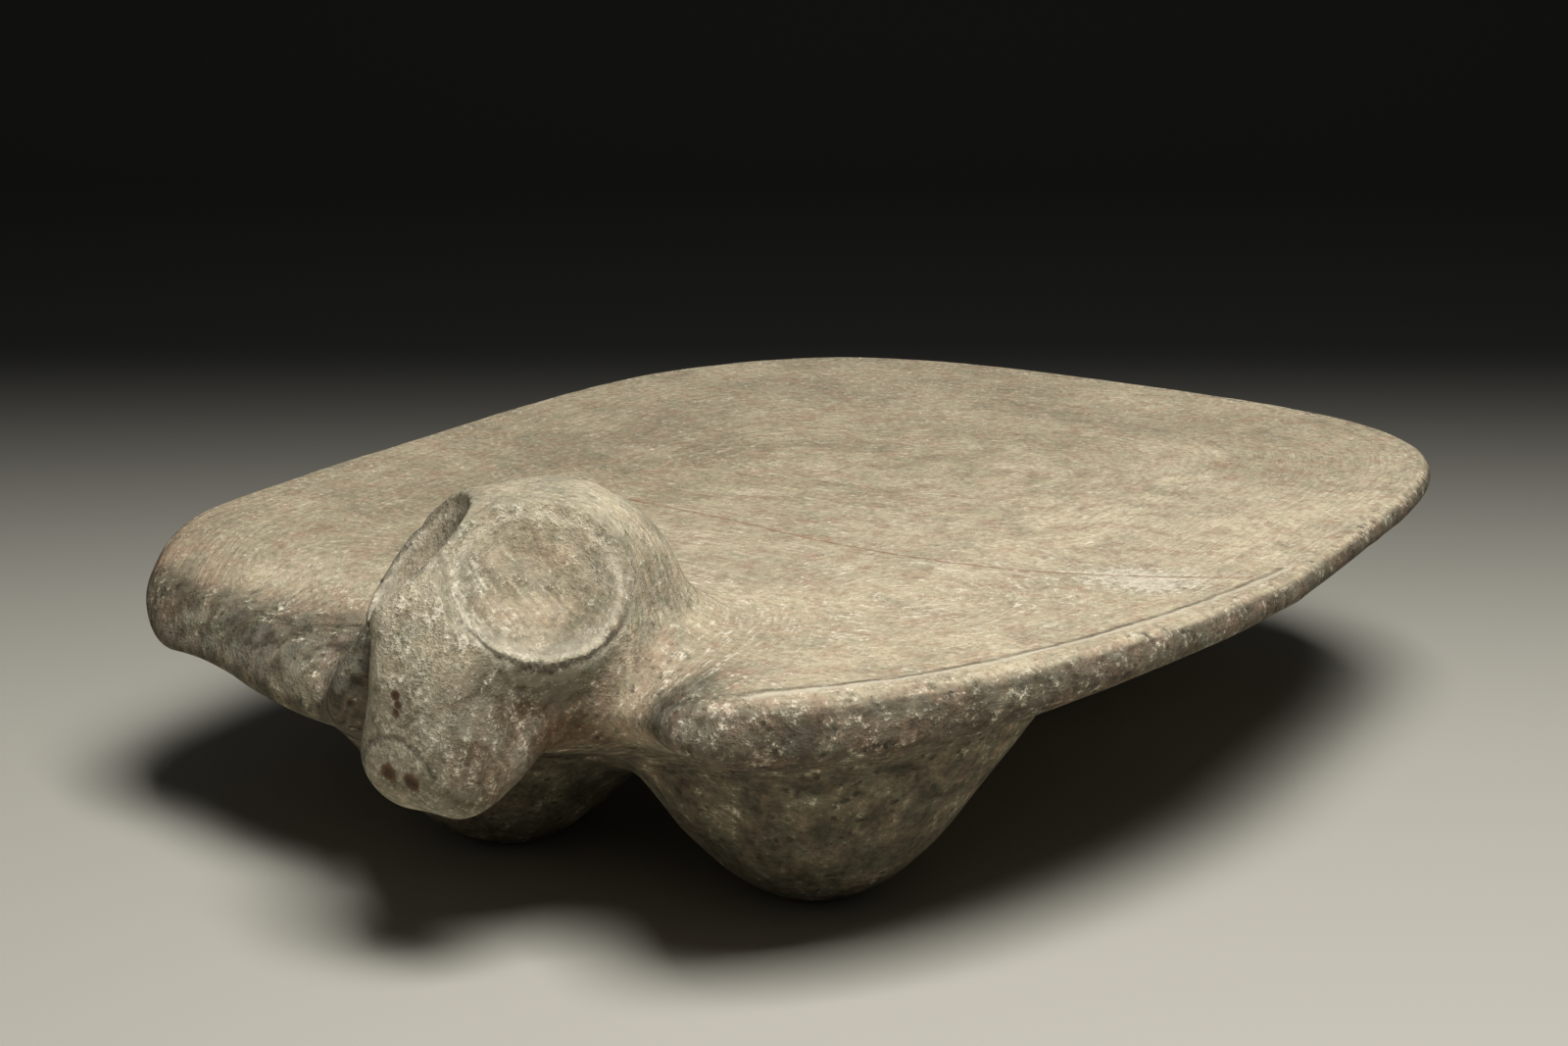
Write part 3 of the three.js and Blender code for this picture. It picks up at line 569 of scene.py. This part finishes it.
def wear(carving, points, normals):
    """Where the stone is worn, weathered or stained, and where its colour holds painted shade and light,
    as numbers from 0 to about 1, and distances in millimetres across the carver's strokes and from
    the lines cut into the top. A round mark is exp(-(x off / spread)^2 - (y off / spread)^2)."""
    x, y, z = points.T
    inset, from_head = -carving.edge(x, y, z)[0], carving.head(x, y, z)
    above, aside, radius = carving.from_dish(x, y, z)
    dish = aside - radius
    spot = {name: np.exp(-((x - across) / wide) ** 2 - ((y - back) / deep) ** 2)
            for name, (across, back, wide, deep) in SPOTS.items()}
    level = {name: eased(z, *heights) for name, heights in LEVELS.items()}
    head = eased(from_head, *HEAD_FADE)
    off_head = 1 - head
    far_face = eased(x, *FAR_FACE_ACROSS) * eased(y, *FAR_FACE_BACK)
    groove, lobe_corner = (spot[name] * level[name] for name in ("groove", "lobe_corner"))
    snout = eased(y, *SNOUT_BEHIND) * eased(np.abs(x), *SNOUT_ACROSS) * level["snout"]
    snout_side = head * eased(x, *SNOUT_SIDE) * level["snout_side"]
    # Rubbed by use: the top, the groove beside the head and the crown. Skin off the head that is not
    # rubbed, which faces sideways and down, takes the dull colour, partly painted shade.
    rubbed = np.maximum(eased(normals[:, 2], *FACING_UP) * level["top"] * (1 - far_face), groove)
    rubbed = np.maximum(rubbed * (1 - CORNER_FROM_WORN * lobe_corner), level["crown"])
    worn = rubbed * off_head
    far_tip = spot["far_tip"] * (1 - WORN_FROM_TIP * worn)
    marks = {
        "head": head, "far_face": far_face, "groove": groove, "lobe_corner": lobe_corner,
        "far_tip": far_tip, "snout_side": snout_side, "tip_stain": spot["tip_stain"],
        "snout": snout * (1 - SIDE_FROM_SNOUT * snout_side), "unworn": (1 - rubbed) * off_head,
        "sides": level["sides"] * (1 - SNOUT_FROM_SIDES * snout) * (1 - GROOVE_FROM_SIDES * groove),
        "jowl": head * level["jowl"], "scuff": spot["scuff"] * worn,
        **{name: spot[name] * off_head for name in ("golden_and_lit_side", "golden_front", "grey_side")},
        "ring": np.exp(-((dish - RING_MIDDLE) / RING_SPREAD) ** 2) * head,
        "band": np.exp(-((inset - BAND_MIDDLE) / BAND_SPREAD) ** 2) * level["band"] * off_head,
        "throat": (1 - snout) * level["under_neck"] * level["throat"] * spot["throat"],
        "eye_floor": eased(dish, *EYE_FLOOR) * (above > EYE_FLOOR_DEPTH) * head,
        "cheek": np.exp(-((x - CHEEK_ACROSS) / CHEEK_SPREAD) ** 2) * level["cheek"] * head,
        "far_eye": head * eased(x, *FAR_EYE_ACROSS) * (dish < FAR_EYE_REACH),
    }
    # Browner low parts, dull unworn skin, which is partly painted shade on the faces turned down and
    # away from the lamp, grey-green and rust run from 0 to 1. Warm tints and the pale crust may run
    # further.
    low, dull, moss, rust = (np.clip(blend(marks, name), 0, 1) for name in ("low", "dull", "moss", "rust"))
    warm, crust = blend(marks, "warm"), blend(marks, "crust") * (1 - far_tip)
    moss = moss * (1 - far_tip) * (1 - LOW_FROM_MOSS * low) + GREEN_PATCH * worn * spot["green_patch"]
    swirl = np.hypot(x - SWIRL_ACROSS, (y - SWIRL_BACK) / SWIRL_STRETCH)
    line, scratch = cut_lines(x, y, z)
    return {
        "zones": np.stack([worn, low, warm], 1),
        "stains": np.stack([crust, moss, rust], 1),
        "strokes": np.stack([inset, carving.feet(x, y, z), swirl], 1),
        "cuts": np.stack([line, scratch, dish], 1),
        "skin": np.stack([dull, head, from_head], 1),
    }


def carve(shape):
    """The finished skin: the carving's surface, moved along its normals by rolling unevenness,
    cut flat at the floor, and set into the solid's box."""
    carving = Carving(shape)
    kept, quads = closed_faces()
    points = skin_points(carving).reshape(-1, 3)[kept]
    normals = carving.outward(points)
    marks = wear(carving, points, normals)
    worn = marks["zones"][:, 0]
    uneven = sum((rough + (smooth - rough) * worn) * rolling_noise(points, size, seed)
                 for size, seed, smooth, rough in WAVES)
    points = points + normals * (uneven * shape.unevenness / MM)[:, None]
    points = points * MM
    points[:, 2] = np.maximum(points[:, 2], 0)
    low, high = points.min(0), points.max(0)
    shrink = np.minimum((CAD_HIGH - CAD_LOW) / (high - low), 1)
    shift = np.append((CAD_LOW + CAD_HIGH)[:2] / 2 - (low + high)[:2] / 2 * shrink[:2], CAD_LOW[2])
    return points * shrink + shift, quads, marks


# Materials

def add(tree, kind, settings=None, links=None):
    """Adds a node, sets its properties or sockets, and links sockets to other nodes' outputs."""
    node = tree.nodes.new(kind)
    for name, value in (settings or {}).items():
        if isinstance(name, str) and hasattr(node, name):
            setattr(node, name, value)
        else:
            node.inputs[name].default_value = value
    for name, output in (links or {}).items():
        tree.links.new(output, node.inputs[name])
    return node.outputs


def rgba(colour):
    """A colour with full cover."""
    return (*colour, 1.0)


def new_material(name):
    """A material with an empty node tree."""
    material = bpy.data.materials.new(name)
    material.use_nodes = True
    material.node_tree.nodes.clear()
    return material, material.node_tree


def band(node, away, middle, half, core, most=1.0):
    """A soft band across a distance: full inside its core and gone beyond its half width."""
    gap = node(MATH, {"operation": "SUBTRACT", 1: middle}, {0: away})[0]
    gap = node(MATH, {"operation": "ABSOLUTE"}, {0: gap})[0]
    return node(RANGE, {"From Min": half, "From Max": core, "To Max": most}, {"Value": gap})[0]


def weathered_stone(colours):
    """Andesite, pecked to shape, rubbed smooth on top and weathered outdoors: a matt, fine-grained
    grey-tan with dark pits, pale crust and the fine parallel strokes of the stone that shaped it. Its
    dull skin is partly painted shade on the faces turned down and away from the lamp, the bands in
    the eyes' bowls hold painted shade, light and shadow, and the golden near side of the top is
    partly painted light."""
    material, tree = new_material("weathered_andesite_pecked_and_rubbed")
    node = partial(add, tree)
    place = node("ShaderNodeTexCoord")["Object"]
    # Object coordinates in millimetres, so that a pattern's scale is one over its size.
    mm = node("ShaderNodeMapping", {"Scale": (1 / MM,) * 3}, {"Vector": place})["Vector"]
    x, y, z = node("ShaderNodeSeparateXYZ", None, {0: mm})
    read = {}
    for name in ("zones", "stains", "strokes", "cuts", "skin"):
        vector = node("ShaderNodeAttribute", {"attribute_name": name})["Vector"]
        read[name] = node("ShaderNodeSeparateXYZ", None, {0: vector})
    worn, low, warm = read["zones"]
    crust, moss, rust = read["stains"]
    inset, foot, swirl = read["strokes"]
    line, scratch, dish = read["cuts"]
    dull, head, neck = read["skin"]

    # Grain, from clouds down to crystals, and coordinates bent by it, which make edges ragged.
    grains = {}
    for name, (size, detail, coarse) in GRAINS.items():
        grains[name] = node(NOISE, {"Scale": 1 / size, "Detail": detail, "Roughness": coarse},
                            {"Vector": mm})
    cloud, blotch, patch, grain, fleck = (grains[name]["Fac"] for name in GRAINS)
    bent = node(VECTOR, {"operation": "MULTIPLY_ADD", 1: (BEND,) * 3},
                {0: grains["grain"]["Color"], 2: mm})[0]

    # How worn the skin is, with a ragged edge, and how strongly the weathering shows on it.
    ragged = node(MATH, {"operation": "MULTIPLY_ADD", 1: 0.7}, {0: patch, 2: worn})[0]
    smooth = node(RANGE, {"From Min": 0.62, "From Max": 0.98}, {"Value": ragged})[0]
    unworn = node(MATH, {"operation": "SUBTRACT", 0: 1.0}, {1: smooth})[0]
    rough = node(RANGE, {"To Min": 1.0, "To Max": 0.45}, {"Value": smooth})[0]

    # Pits in patches, most on unworn skin and along the rim and fewer on the head, and wider pocks
    # with pale lips where the skin is grey-green.
    cell = node(VORONOI, {"Scale": 1 / PIT_SPACING}, {"Vector": bent})["Distance"]
    pits = node(RANGE, {"From Min": 0.42, "From Max": 0.20}, {"Value": cell})[0]
    pit_patch = node(RANGE, {"From Min": 0.48, "From Max": 0.60}, {"Value": patch})[0]
    ragged_edge = node(RANGE, {"From Min": 9.0, "From Max": 3.0, "To Max": 0.9}, {"Value": inset})[0]
    pitted = node(MATH, LARGER, {0: unworn, 1: ragged_edge})[0]
    off_head = node(RANGE, {"To Min": 1.0, "To Max": 0.45}, {"Value": head})[0]
    for share in (pit_patch, pitted, off_head):
        pits = node(MATH, TIMES, {0: pits, 1: share})[0]
    wide = node(VORONOI, {"Scale": 1 / POCK_SPACING}, {"Vector": bent})["Distance"]
    pocks = node(RANGE, {"From Min": 0.42, "From Max": 0.10}, {"Value": wide})[0]
    pock_lips = node(RANGE, {"From Min": 0.62, "From Max": 0.45, "To Max": 0.16}, {"Value": wide})[0]
    pocky = node(MATH, TIMES, {0: moss, 1: unworn})[0]
    pocks, pock_lips = (node(MATH, TIMES, {0: part, 1: pocky})[0]
                        for part in (pocks, pock_lips))

    # The strokes: noise drawn out along the rim, round the swirl, the head and the feet's roots.
    strokes = {}
    for name, across in (("rim", inset), ("swirl", swirl), ("neck", neck), ("root", foot)):
        thin = node(MATH, {"operation": "MULTIPLY", 1: 1 / STROKE_WIDTHS[name]}, {0: across})[0]
        long_x, long_y = (node(MATH, {"operation": "MULTIPLY", 1: 1 / STROKE_LENGTH}, {0: axis})[0]
                          for axis in (x, y))
        drawn = node("ShaderNodeCombineXYZ", None, {0: thin, 1: long_x, 2: long_y})[0]
        strokes[name] = node(NOISE, {"Scale": 1.0, "Detail": 3, "Roughness": 0.65, "Distortion": 0.4},
                             {"Vector": drawn})["Fac"]
    stroke, shares = strokes["rim"], {}
    for name, across, skin in (("swirl", swirl, smooth), ("neck", neck, smooth), ("root", foot, unworn)):
        far, full = STROKE_REACHES[name]
        near = node(RANGE, {"From Min": far, "From Max": full}, {"Value": across})[0]
        shares[name] = node(MATH, TIMES, {0: near, 1: skin})[0]
        stroke = node(MIX, {"data_type": "FLOAT"}, {0: shares[name], 2: stroke, 3: strokes[name]})[0]

    # Colour: the worn face's tans, and layers over them, each a share and its colour. First come
    # the dull unworn skin, which is partly painted shade, the browner low parts and the rust.
    warmth = node(MATH, {"operation": "MULTIPLY_ADD", 1: 0.30}, {0: warm, 2: cloud})[0]
    warmth = node(RANGE, {"From Min": 0.28, "From Max": 0.90}, {"Value": warmth})[0]
    base = node(MIX, {"data_type": "RGBA", 6: rgba(colours.tan), 7: rgba(colours.golden)},
                {0: warmth})[2]
    layers = []
    for part, spread, share, colour in ((patch, 0.9, dull, "dull"), (blotch, 0.6, low, "brown")):
        edge = node(MATH, {"operation": "MULTIPLY_ADD", 1: spread, 2: -spread / 2}, {0: part})[0]
        share = node(MATH, {"operation": "ADD", "use_clamp": True}, {0: edge, 1: share})[0]
        layers.append((share, colour))
    rusty = node(RANGE, {"From Min": 0.36, "From Max": 0.64, "To Min": 0.15, "To Max": 0.85},
                 {"Value": patch})[0]
    rusty = node(MATH, TIMES, {0: rusty, 1: rust})[0]
    layers.append((rusty, "rust"))

    # Mottling: grey-green in the low grain, pink-brown between, and pale crust on the high grain,
    # which the strokes draw out.
    green = node(MATH, {"operation": "MULTIPLY_ADD", 1: 0.9}, {0: patch, 2: blotch})[0]
    green = node(MATH, {"operation": "MULTIPLY_ADD", 1: 0.16}, {0: moss, 2: green})[0]
    blush = node(NOISE, {"Scale": 1 / BLUSH_SIZE, "Detail": 6, "Roughness": 0.75},
                 {"Vector": bent})["Fac"]
    for part, start, full, on_unworn, on_worn, colour in (
            (green, 0.95, 1.18, 0.70, 0.36, "moss"), (blush, 0.47, 0.64, 0.30, 0.60, "blush")):
        most = node(RANGE, {"To Min": on_unworn, "To Max": on_worn}, {"Value": smooth})[0]
        share = node(RANGE, {"From Min": start, "From Max": full}, {"Value": part, "To Max": most})[0]
        layers.append((share, colour))
    high = grain
    for part, share in ((fleck, 0.6), (patch, 0.8), (crust, 0.22), (low, -0.05), (dull, -0.05)):
        high = node(MATH, {"operation": "MULTIPLY_ADD", 1: share}, {0: part, 2: high})[0]
    drift = node(MATH, {"operation": "SUBTRACT", 1: 0.5}, {0: stroke})[0]
    drawn_out = node(MATH, LARGER, {0: shares["swirl"], 1: shares["neck"]})[0]
    drawn_out = node(MATH, {"operation": "MULTIPLY_ADD", 1: 1.15, 2: 0.25}, {0: drawn_out})[0]
    drawn_out = node(MATH, {"operation": "MULTIPLY_ADD", 1: 0.5}, {0: shares["root"], 2: drawn_out})[0]
    high = node(MATH, {"operation": "MULTIPLY_ADD"}, {0: drift, 1: drawn_out, 2: high})[0]
    crusty = node(RANGE, {"From Min": 1.28, "From Max": 1.50, "To Max": 0.66}, {"Value": high})[0]
    layers.append((crusty, "crust"))

    # Tones, which have no colour of their own: patches, grain and strokes lighten and darken.
    for part, darkest, lightest, on_unworn, on_worn in ((patch, 0.36, 0.64, 0.21, 0.10),
                                                        (grain, 0.30, 0.70, 0.36, 0.34)):
        strength = node(RANGE, {"To Min": on_unworn, "To Max": on_worn}, {"Value": smooth})[0]
        tone = node(RANGE, {"From Min": darkest, "From Max": lightest, "To Min": -1.0, "To Max": 1.0},
                    {"Value": part})[0]
        tone = node(MATH, {"operation": "MULTIPLY_ADD", 2: 1.0}, {0: tone, 1: strength})[0]
        layers.append((tone, None))
    stroke_tone = node(RANGE, {"From Min": 0.32, "From Max": 0.68, "To Min": 0.83, "To Max": 1.17},
                       {"Value": stroke})[0]
    root_strength = node(MATH, {"operation": "MULTIPLY", 1: 2.4}, {0: shares["root"]})[0]
    root_tone = node(MATH, {"operation": "MULTIPLY_ADD", 2: 1.0}, {0: drift, 1: root_strength})[0]
    speck = node(RANGE, {"From Min": 0.38, "From Max": 0.26, "To Max": 0.7}, {"Value": fleck})[0]
    pit_dark = node(MATH, {"operation": "MULTIPLY", 1: 0.75}, {0: pits})[0]
    layers += [(stroke_tone, None), (root_tone, None), (speck, "pit"), (pock_lips, "crust"),
               (pit_dark, "pit")]

    # The line cut along the rim, its pale lip 2 mm beyond it, and the long scratch, which all wander
    # with the patches.
    wander = node(MATH, {"operation": "MULTIPLY_ADD", 1: 3.0, 2: -1.5}, {0: patch})[0]
    from_line, from_scratch = (node(MATH, {"operation": "ADD"}, {0: away, 1: wander})[0]
                               for away in (line, scratch))
    cut = band(node, from_line, 0, 1.3, 0.3)
    cut_lip = band(node, from_line, -2.0, 1.4, 0.2, 0.55)
    scraped = band(node, from_scratch, 0, 0.9, 0.2, 0.6)
    broken = node(RANGE, {"From Min": 0.40, "From Max": 0.60, "To Min": 0.62, "To Max": 0.2},
                  {"Value": blotch})[0]
    cut_dark = node(MATH, TIMES, {0: cut, 1: broken})[0]
    layers += [(scraped, "rust"), (cut_dark, "pit"), (cut_lip, "crust")]

    # Bands round each eye's bowl, with painted shade just inside its rim, and, on its lower side, a pale
    # crescent of painted light on the bowl's wall and a dark line of painted shadow under the ring,
    # between pale lips.
    below = node(RANGE, {"From Min": EYE_BELOW[0], "From Max": EYE_BELOW[1]}, {"Value": z})[0]
    below = node(MATH, TIMES, {0: below, 1: head})[0]
    ragged_dish = node(MATH, {"operation": "MULTIPLY_ADD", 1: 1.3}, {0: wander, 2: dish})[0]
    for middle, half, colour, most, zone in ([(*ring, head) for ring in EYE_RIM]
                                             + [(*ring, below) for ring in UNDERCUT]):
        share = band(node, ragged_dish, middle, half, half / 3, most)
        share = node(MATH, TIMES, {0: share, 1: zone})[0]
        layers.append((share, colour))
        if colour == "pit":
            undercut_groove_and_shadow = share

    # Nostrils with a rusty edge and the crease over them, only on the snout's face.
    on_face = node(RANGE, {"From Min": SNOUT_FACE[0], "From Max": SNOUT_FACE[1]}, {"Value": y})[0]
    flat = node("ShaderNodeCombineXYZ", None, {0: x, 2: z})[0]
    gaps = [node(VECTOR, {"operation": "DISTANCE", 1: (across + PLATE_OFFSET, 0, up)},
                 {0: flat})["Value"] for across, up, reach in (*SNOUT_PITS, CREASE)]
    holes = []
    for gap, (across, up, reach) in zip(gaps, SNOUT_PITS):
        gap = node(MATH, {"operation": "MULTIPLY_ADD", 1: 1.3}, {0: wander, 2: gap})[0]
        holes.append(node(RANGE, {"From Min": reach, "From Max": reach / 3}, {"Value": gap})[0])
    nostrils = holes[0]
    for hole in holes[1:]:
        nostrils = node(MATH, LARGER, {0: nostrils, 1: hole})[0]
    gap = node(MATH, {"operation": "ADD"}, {0: gaps[-1], 1: wander})[0]
    crease = band(node, gap, CREASE[2], 1.5, 0.2, 0.7)
    upper = node(RANGE, {"From Min": CREASE_LOW[0], "From Max": CREASE_LOW[1]}, {"Value": z})[0]
    crease = node(MATH, TIMES, {0: crease, 1: upper})[0]
    snout_cut = node(MATH, {"operation": "ADD"}, {0: nostrils, 1: crease})[0]
    snout_cut, halo = (node(MATH, TIMES, {0: part, 1: on_face})[0]
                       for part in (snout_cut, nostrils))
    halo = node(RANGE, {"From Max": 0.5, "To Max": 0.8}, {"Value": halo})[0]
    snout_cut_dark = node(MATH, {"operation": "MULTIPLY", 1: 0.75}, {0: snout_cut})[0]
    layers += [(halo, "rust"), (snout_cut_dark, "pit")]

    for share, colour in layers:
        if colour is None:
            base = node(VECTOR, {"operation": "SCALE"}, {0: base, "Scale": share})[0]
        else:
            base = node(MIX, {"data_type": "RGBA", 7: rgba(getattr(colours, colour))},
                        {0: share, 6: base})[2]

    # Height in millimetres: grain, flecks and patches, less of them on worn skin, then strokes and
    # crust up, and pits, pocks and cuts down.
    height = node(MATH, {"operation": "MULTIPLY", 1: 1.15}, {0: grain})[0]
    for part, rise in ((fleck, 0.5), (patch, 1.6)):
        height = node(MATH, {"operation": "MULTIPLY_ADD", 1: rise}, {0: part, 2: height})[0]
    height = node(MATH, TIMES, {0: height, 1: rough})[0]
    for part, rise in ((stroke, 0.6), (crusty, 0.2), (pits, -0.8), (pocks, -0.4), (cut, -0.7),
                       (scraped, -0.3), (undercut_groove_and_shadow, -0.6), (snout_cut, -1.2)):
        height = node(MATH, {"operation": "MULTIPLY_ADD", 1: rise}, {0: part, 2: height})[0]
    bump = node("ShaderNodeBump", {"Strength": 0.85, "Distance": MM}, {"Height": height})[0]
    sheen = node(RANGE, {"To Min": 0.92, "To Max": 0.70}, {"Value": smooth})[0]
    shader = node("ShaderNodeBsdfPrincipled", {"IOR": 1.5, "Specular IOR Level": 0.35},
                  {"Base Color": base, "Roughness": sheen, "Normal": bump})["BSDF"]
    node("ShaderNodeOutputMaterial", None, {"Surface": shader})
    return material


def studio_floor(settings):
    """Matt painted board, pale in front, whose colour fades to near black behind: painted shade where the
    lamp's light falls off.
    """
    material, tree = new_material("matt_board_fading_to_painted_shade")
    node = partial(add, tree)
    place = node("ShaderNodeTexCoord")["Object"]
    turn = math.radians(CAMERA_TURN)
    away = node(VECTOR, {
        "operation": "DOT_PRODUCT", 1: (-math.sin(turn), math.cos(turn), 0)}, {0: place})["Value"]
    share = node(RANGE, {"interpolation_type": "SMOOTHSTEP", "From Min": 0.0, "From Max": DARK_FROM},
                 {"Value": away})[0]
    paint = node(MIX, {"data_type": "RGBA", 6: rgba(settings.floor), 7: rgba(settings.painted_shade_behind)},
                 {0: share})[2]
    shader = node("ShaderNodeBsdfPrincipled", {"Roughness": 0.9, "Specular IOR Level": 0.1},
                  {"Base Color": paint})["BSDF"]
    node("ShaderNodeOutputMaterial", None, {"Surface": shader})
    return material


def new_object(name, points, faces, material):
    """A smooth mesh at the origin, put together from whole arrays."""
    mesh = bpy.data.meshes.new(name)
    mesh.vertices.add(len(points))
    mesh.vertices.foreach_set("co", np.ascontiguousarray(points, np.float32).ravel())
    mesh.loops.add(faces.size)
    mesh.loops.foreach_set("vertex_index", faces.astype(np.int32).ravel())
    mesh.polygons.add(len(faces))
    mesh.polygons.foreach_set("loop_start", np.arange(0, faces.size, faces.shape[1], dtype=np.int32))
    mesh.update(calc_edges=True)
    mesh.validate()
    mesh.polygons.foreach_set("use_smooth", np.ones(len(faces), bool))
    mesh.materials.append(material)
    made = bpy.data.objects.new(name, mesh)
    bpy.context.scene.collection.objects.link(made)
    return made


class CarveStone(bpy.types.Operator):
    """Carve the stone from its sizes and dress it as weathered andesite"""
    bl_idname = "grindingstone.carve"
    bl_label = "Carve the stone"

    def execute(self, context):
        points, quads, marks = carve(context.scene.grindingstone_shape)
        material = weathered_stone(context.scene.grindingstone_colours)
        stone = new_object("carved_stone", points, quads, material)
        for name, values in marks.items():
            layer = stone.data.attributes.new(name, "FLOAT_VECTOR", "POINT")
            layer.data.foreach_set("vector", values.astype(np.float32).ravel())
        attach(stone, "root")
        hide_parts(STONE)
        return {"FINISHED"}


class SetStudio(bpy.types.Operator):
    """Lay the floor, hang the lamp and set up the camera"""
    bl_idname = "grindingstone.studio"
    bl_label = "Set up the studio"

    def execute(self, context):
        scene = context.scene
        settings = scene.grindingstone_studio
        self.lay_floor(settings)
        lamp = bpy.data.lights.new("soft_lamp", "AREA")
        lamp.energy, lamp.size = settings.key_power, settings.key_size
        holder = bpy.data.objects.new("soft_lamp", lamp)
        toward = Vector(LAMP_DIRECTION).normalized()
        holder.matrix_world = Matrix.Translation(toward * LAMP_DISTANCE) @ toward.to_track_quat(
            "Z", "Y").to_matrix().to_4x4()
        scene.collection.objects.link(holder)
        world = bpy.data.worlds.new("room")
        world.use_nodes = True
        world.node_tree.nodes["Background"].inputs["Strength"].default_value = settings.fill
        world.node_tree.nodes["Background"].inputs["Color"].default_value = (1, 1, 1, 1)
        scene.world = world
        camera = bpy.data.cameras.new("camera")
        camera.lens, camera.sensor_width = CAMERA_LENS, CAMERA_SENSOR
        eye = bpy.data.objects.new("camera", camera)
        eye.location = CAMERA_PLACE
        eye.rotation_euler = (math.radians(90 - CAMERA_TILT), 0, math.radians(CAMERA_TURN))
        scene.collection.objects.link(eye)
        scene.camera = eye
        scene.view_settings.view_transform = "Standard"
        return {"FINISHED"}

    @staticmethod
    def lay_floor(settings):
        """A wide strip: flat in front, then a quarter circle up into a wall behind."""
        turn = math.radians(CAMERA_TURN)
        away = np.array([-math.sin(turn), math.cos(turn)])
        across = np.array([math.cos(turn), math.sin(turn)])
        bend = np.linspace(0, math.pi / 2, WALL_BEND_STEPS)
        run = np.concatenate([[FLOOR_FRONT], WALL_BACK + WALL_BEND * np.sin(bend),
                              [WALL_BACK + WALL_BEND]])
        rise = np.concatenate([[0], WALL_BEND * (1 - np.cos(bend)), [WALL_TOP]])
        reach = np.array([-FLOOR_HALF_WIDTH, FLOOR_HALF_WIDTH])
        level = run[:, None, None] * away + reach[None, :, None] * across
        points = np.concatenate([level, np.broadcast_to(rise[:, None, None], (len(run), 2, 1))], 2)
        first = np.arange(len(run) - 1) * 2
        quads = np.stack([first, first + 1, first + 3, first + 2], axis=1)
        new_object("floor", points.reshape(-1, 3), quads, studio_floor(settings))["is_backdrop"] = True


class StonePanel(bpy.types.Panel):
    """Buttons and settings of the grinding stone."""
    bl_idname = "VIEW3D_PT_grindingstone"
    bl_label = "Grinding stone"
    bl_space_type = "VIEW_3D"
    bl_region_type = "UI"
    bl_category = "Grinding stone"

    def draw(self, context):
        for group, names in SETTINGS.items():
            box = self.layout.box()
            for name in names.__annotations__:
                box.prop(getattr(context.scene, group), name)
        for operator in OPERATORS:
            self.layout.operator(operator.bl_idname)


SETTINGS = {
    "grindingstone_shape": StoneShape,
    "grindingstone_colours": StoneColours,
    "grindingstone_studio": StudioSettings,
}
OPERATORS = (CarveStone, SetStudio)


def register():
    for made in (*SETTINGS.values(), *OPERATORS, StonePanel):
        bpy.utils.register_class(made)
    for name, group in SETTINGS.items():
        setattr(bpy.types.Scene, name, PointerProperty(type=group))


def unregister():
    for name in SETTINGS:
        delattr(bpy.types.Scene, name)
    for made in (StonePanel, *OPERATORS, *SETTINGS.values()):
        bpy.utils.unregister_class(made)


def main():
    register()
    bpy.ops.grindingstone.carve()
    bpy.ops.grindingstone.studio()


if __name__ == "__main__":
    main()
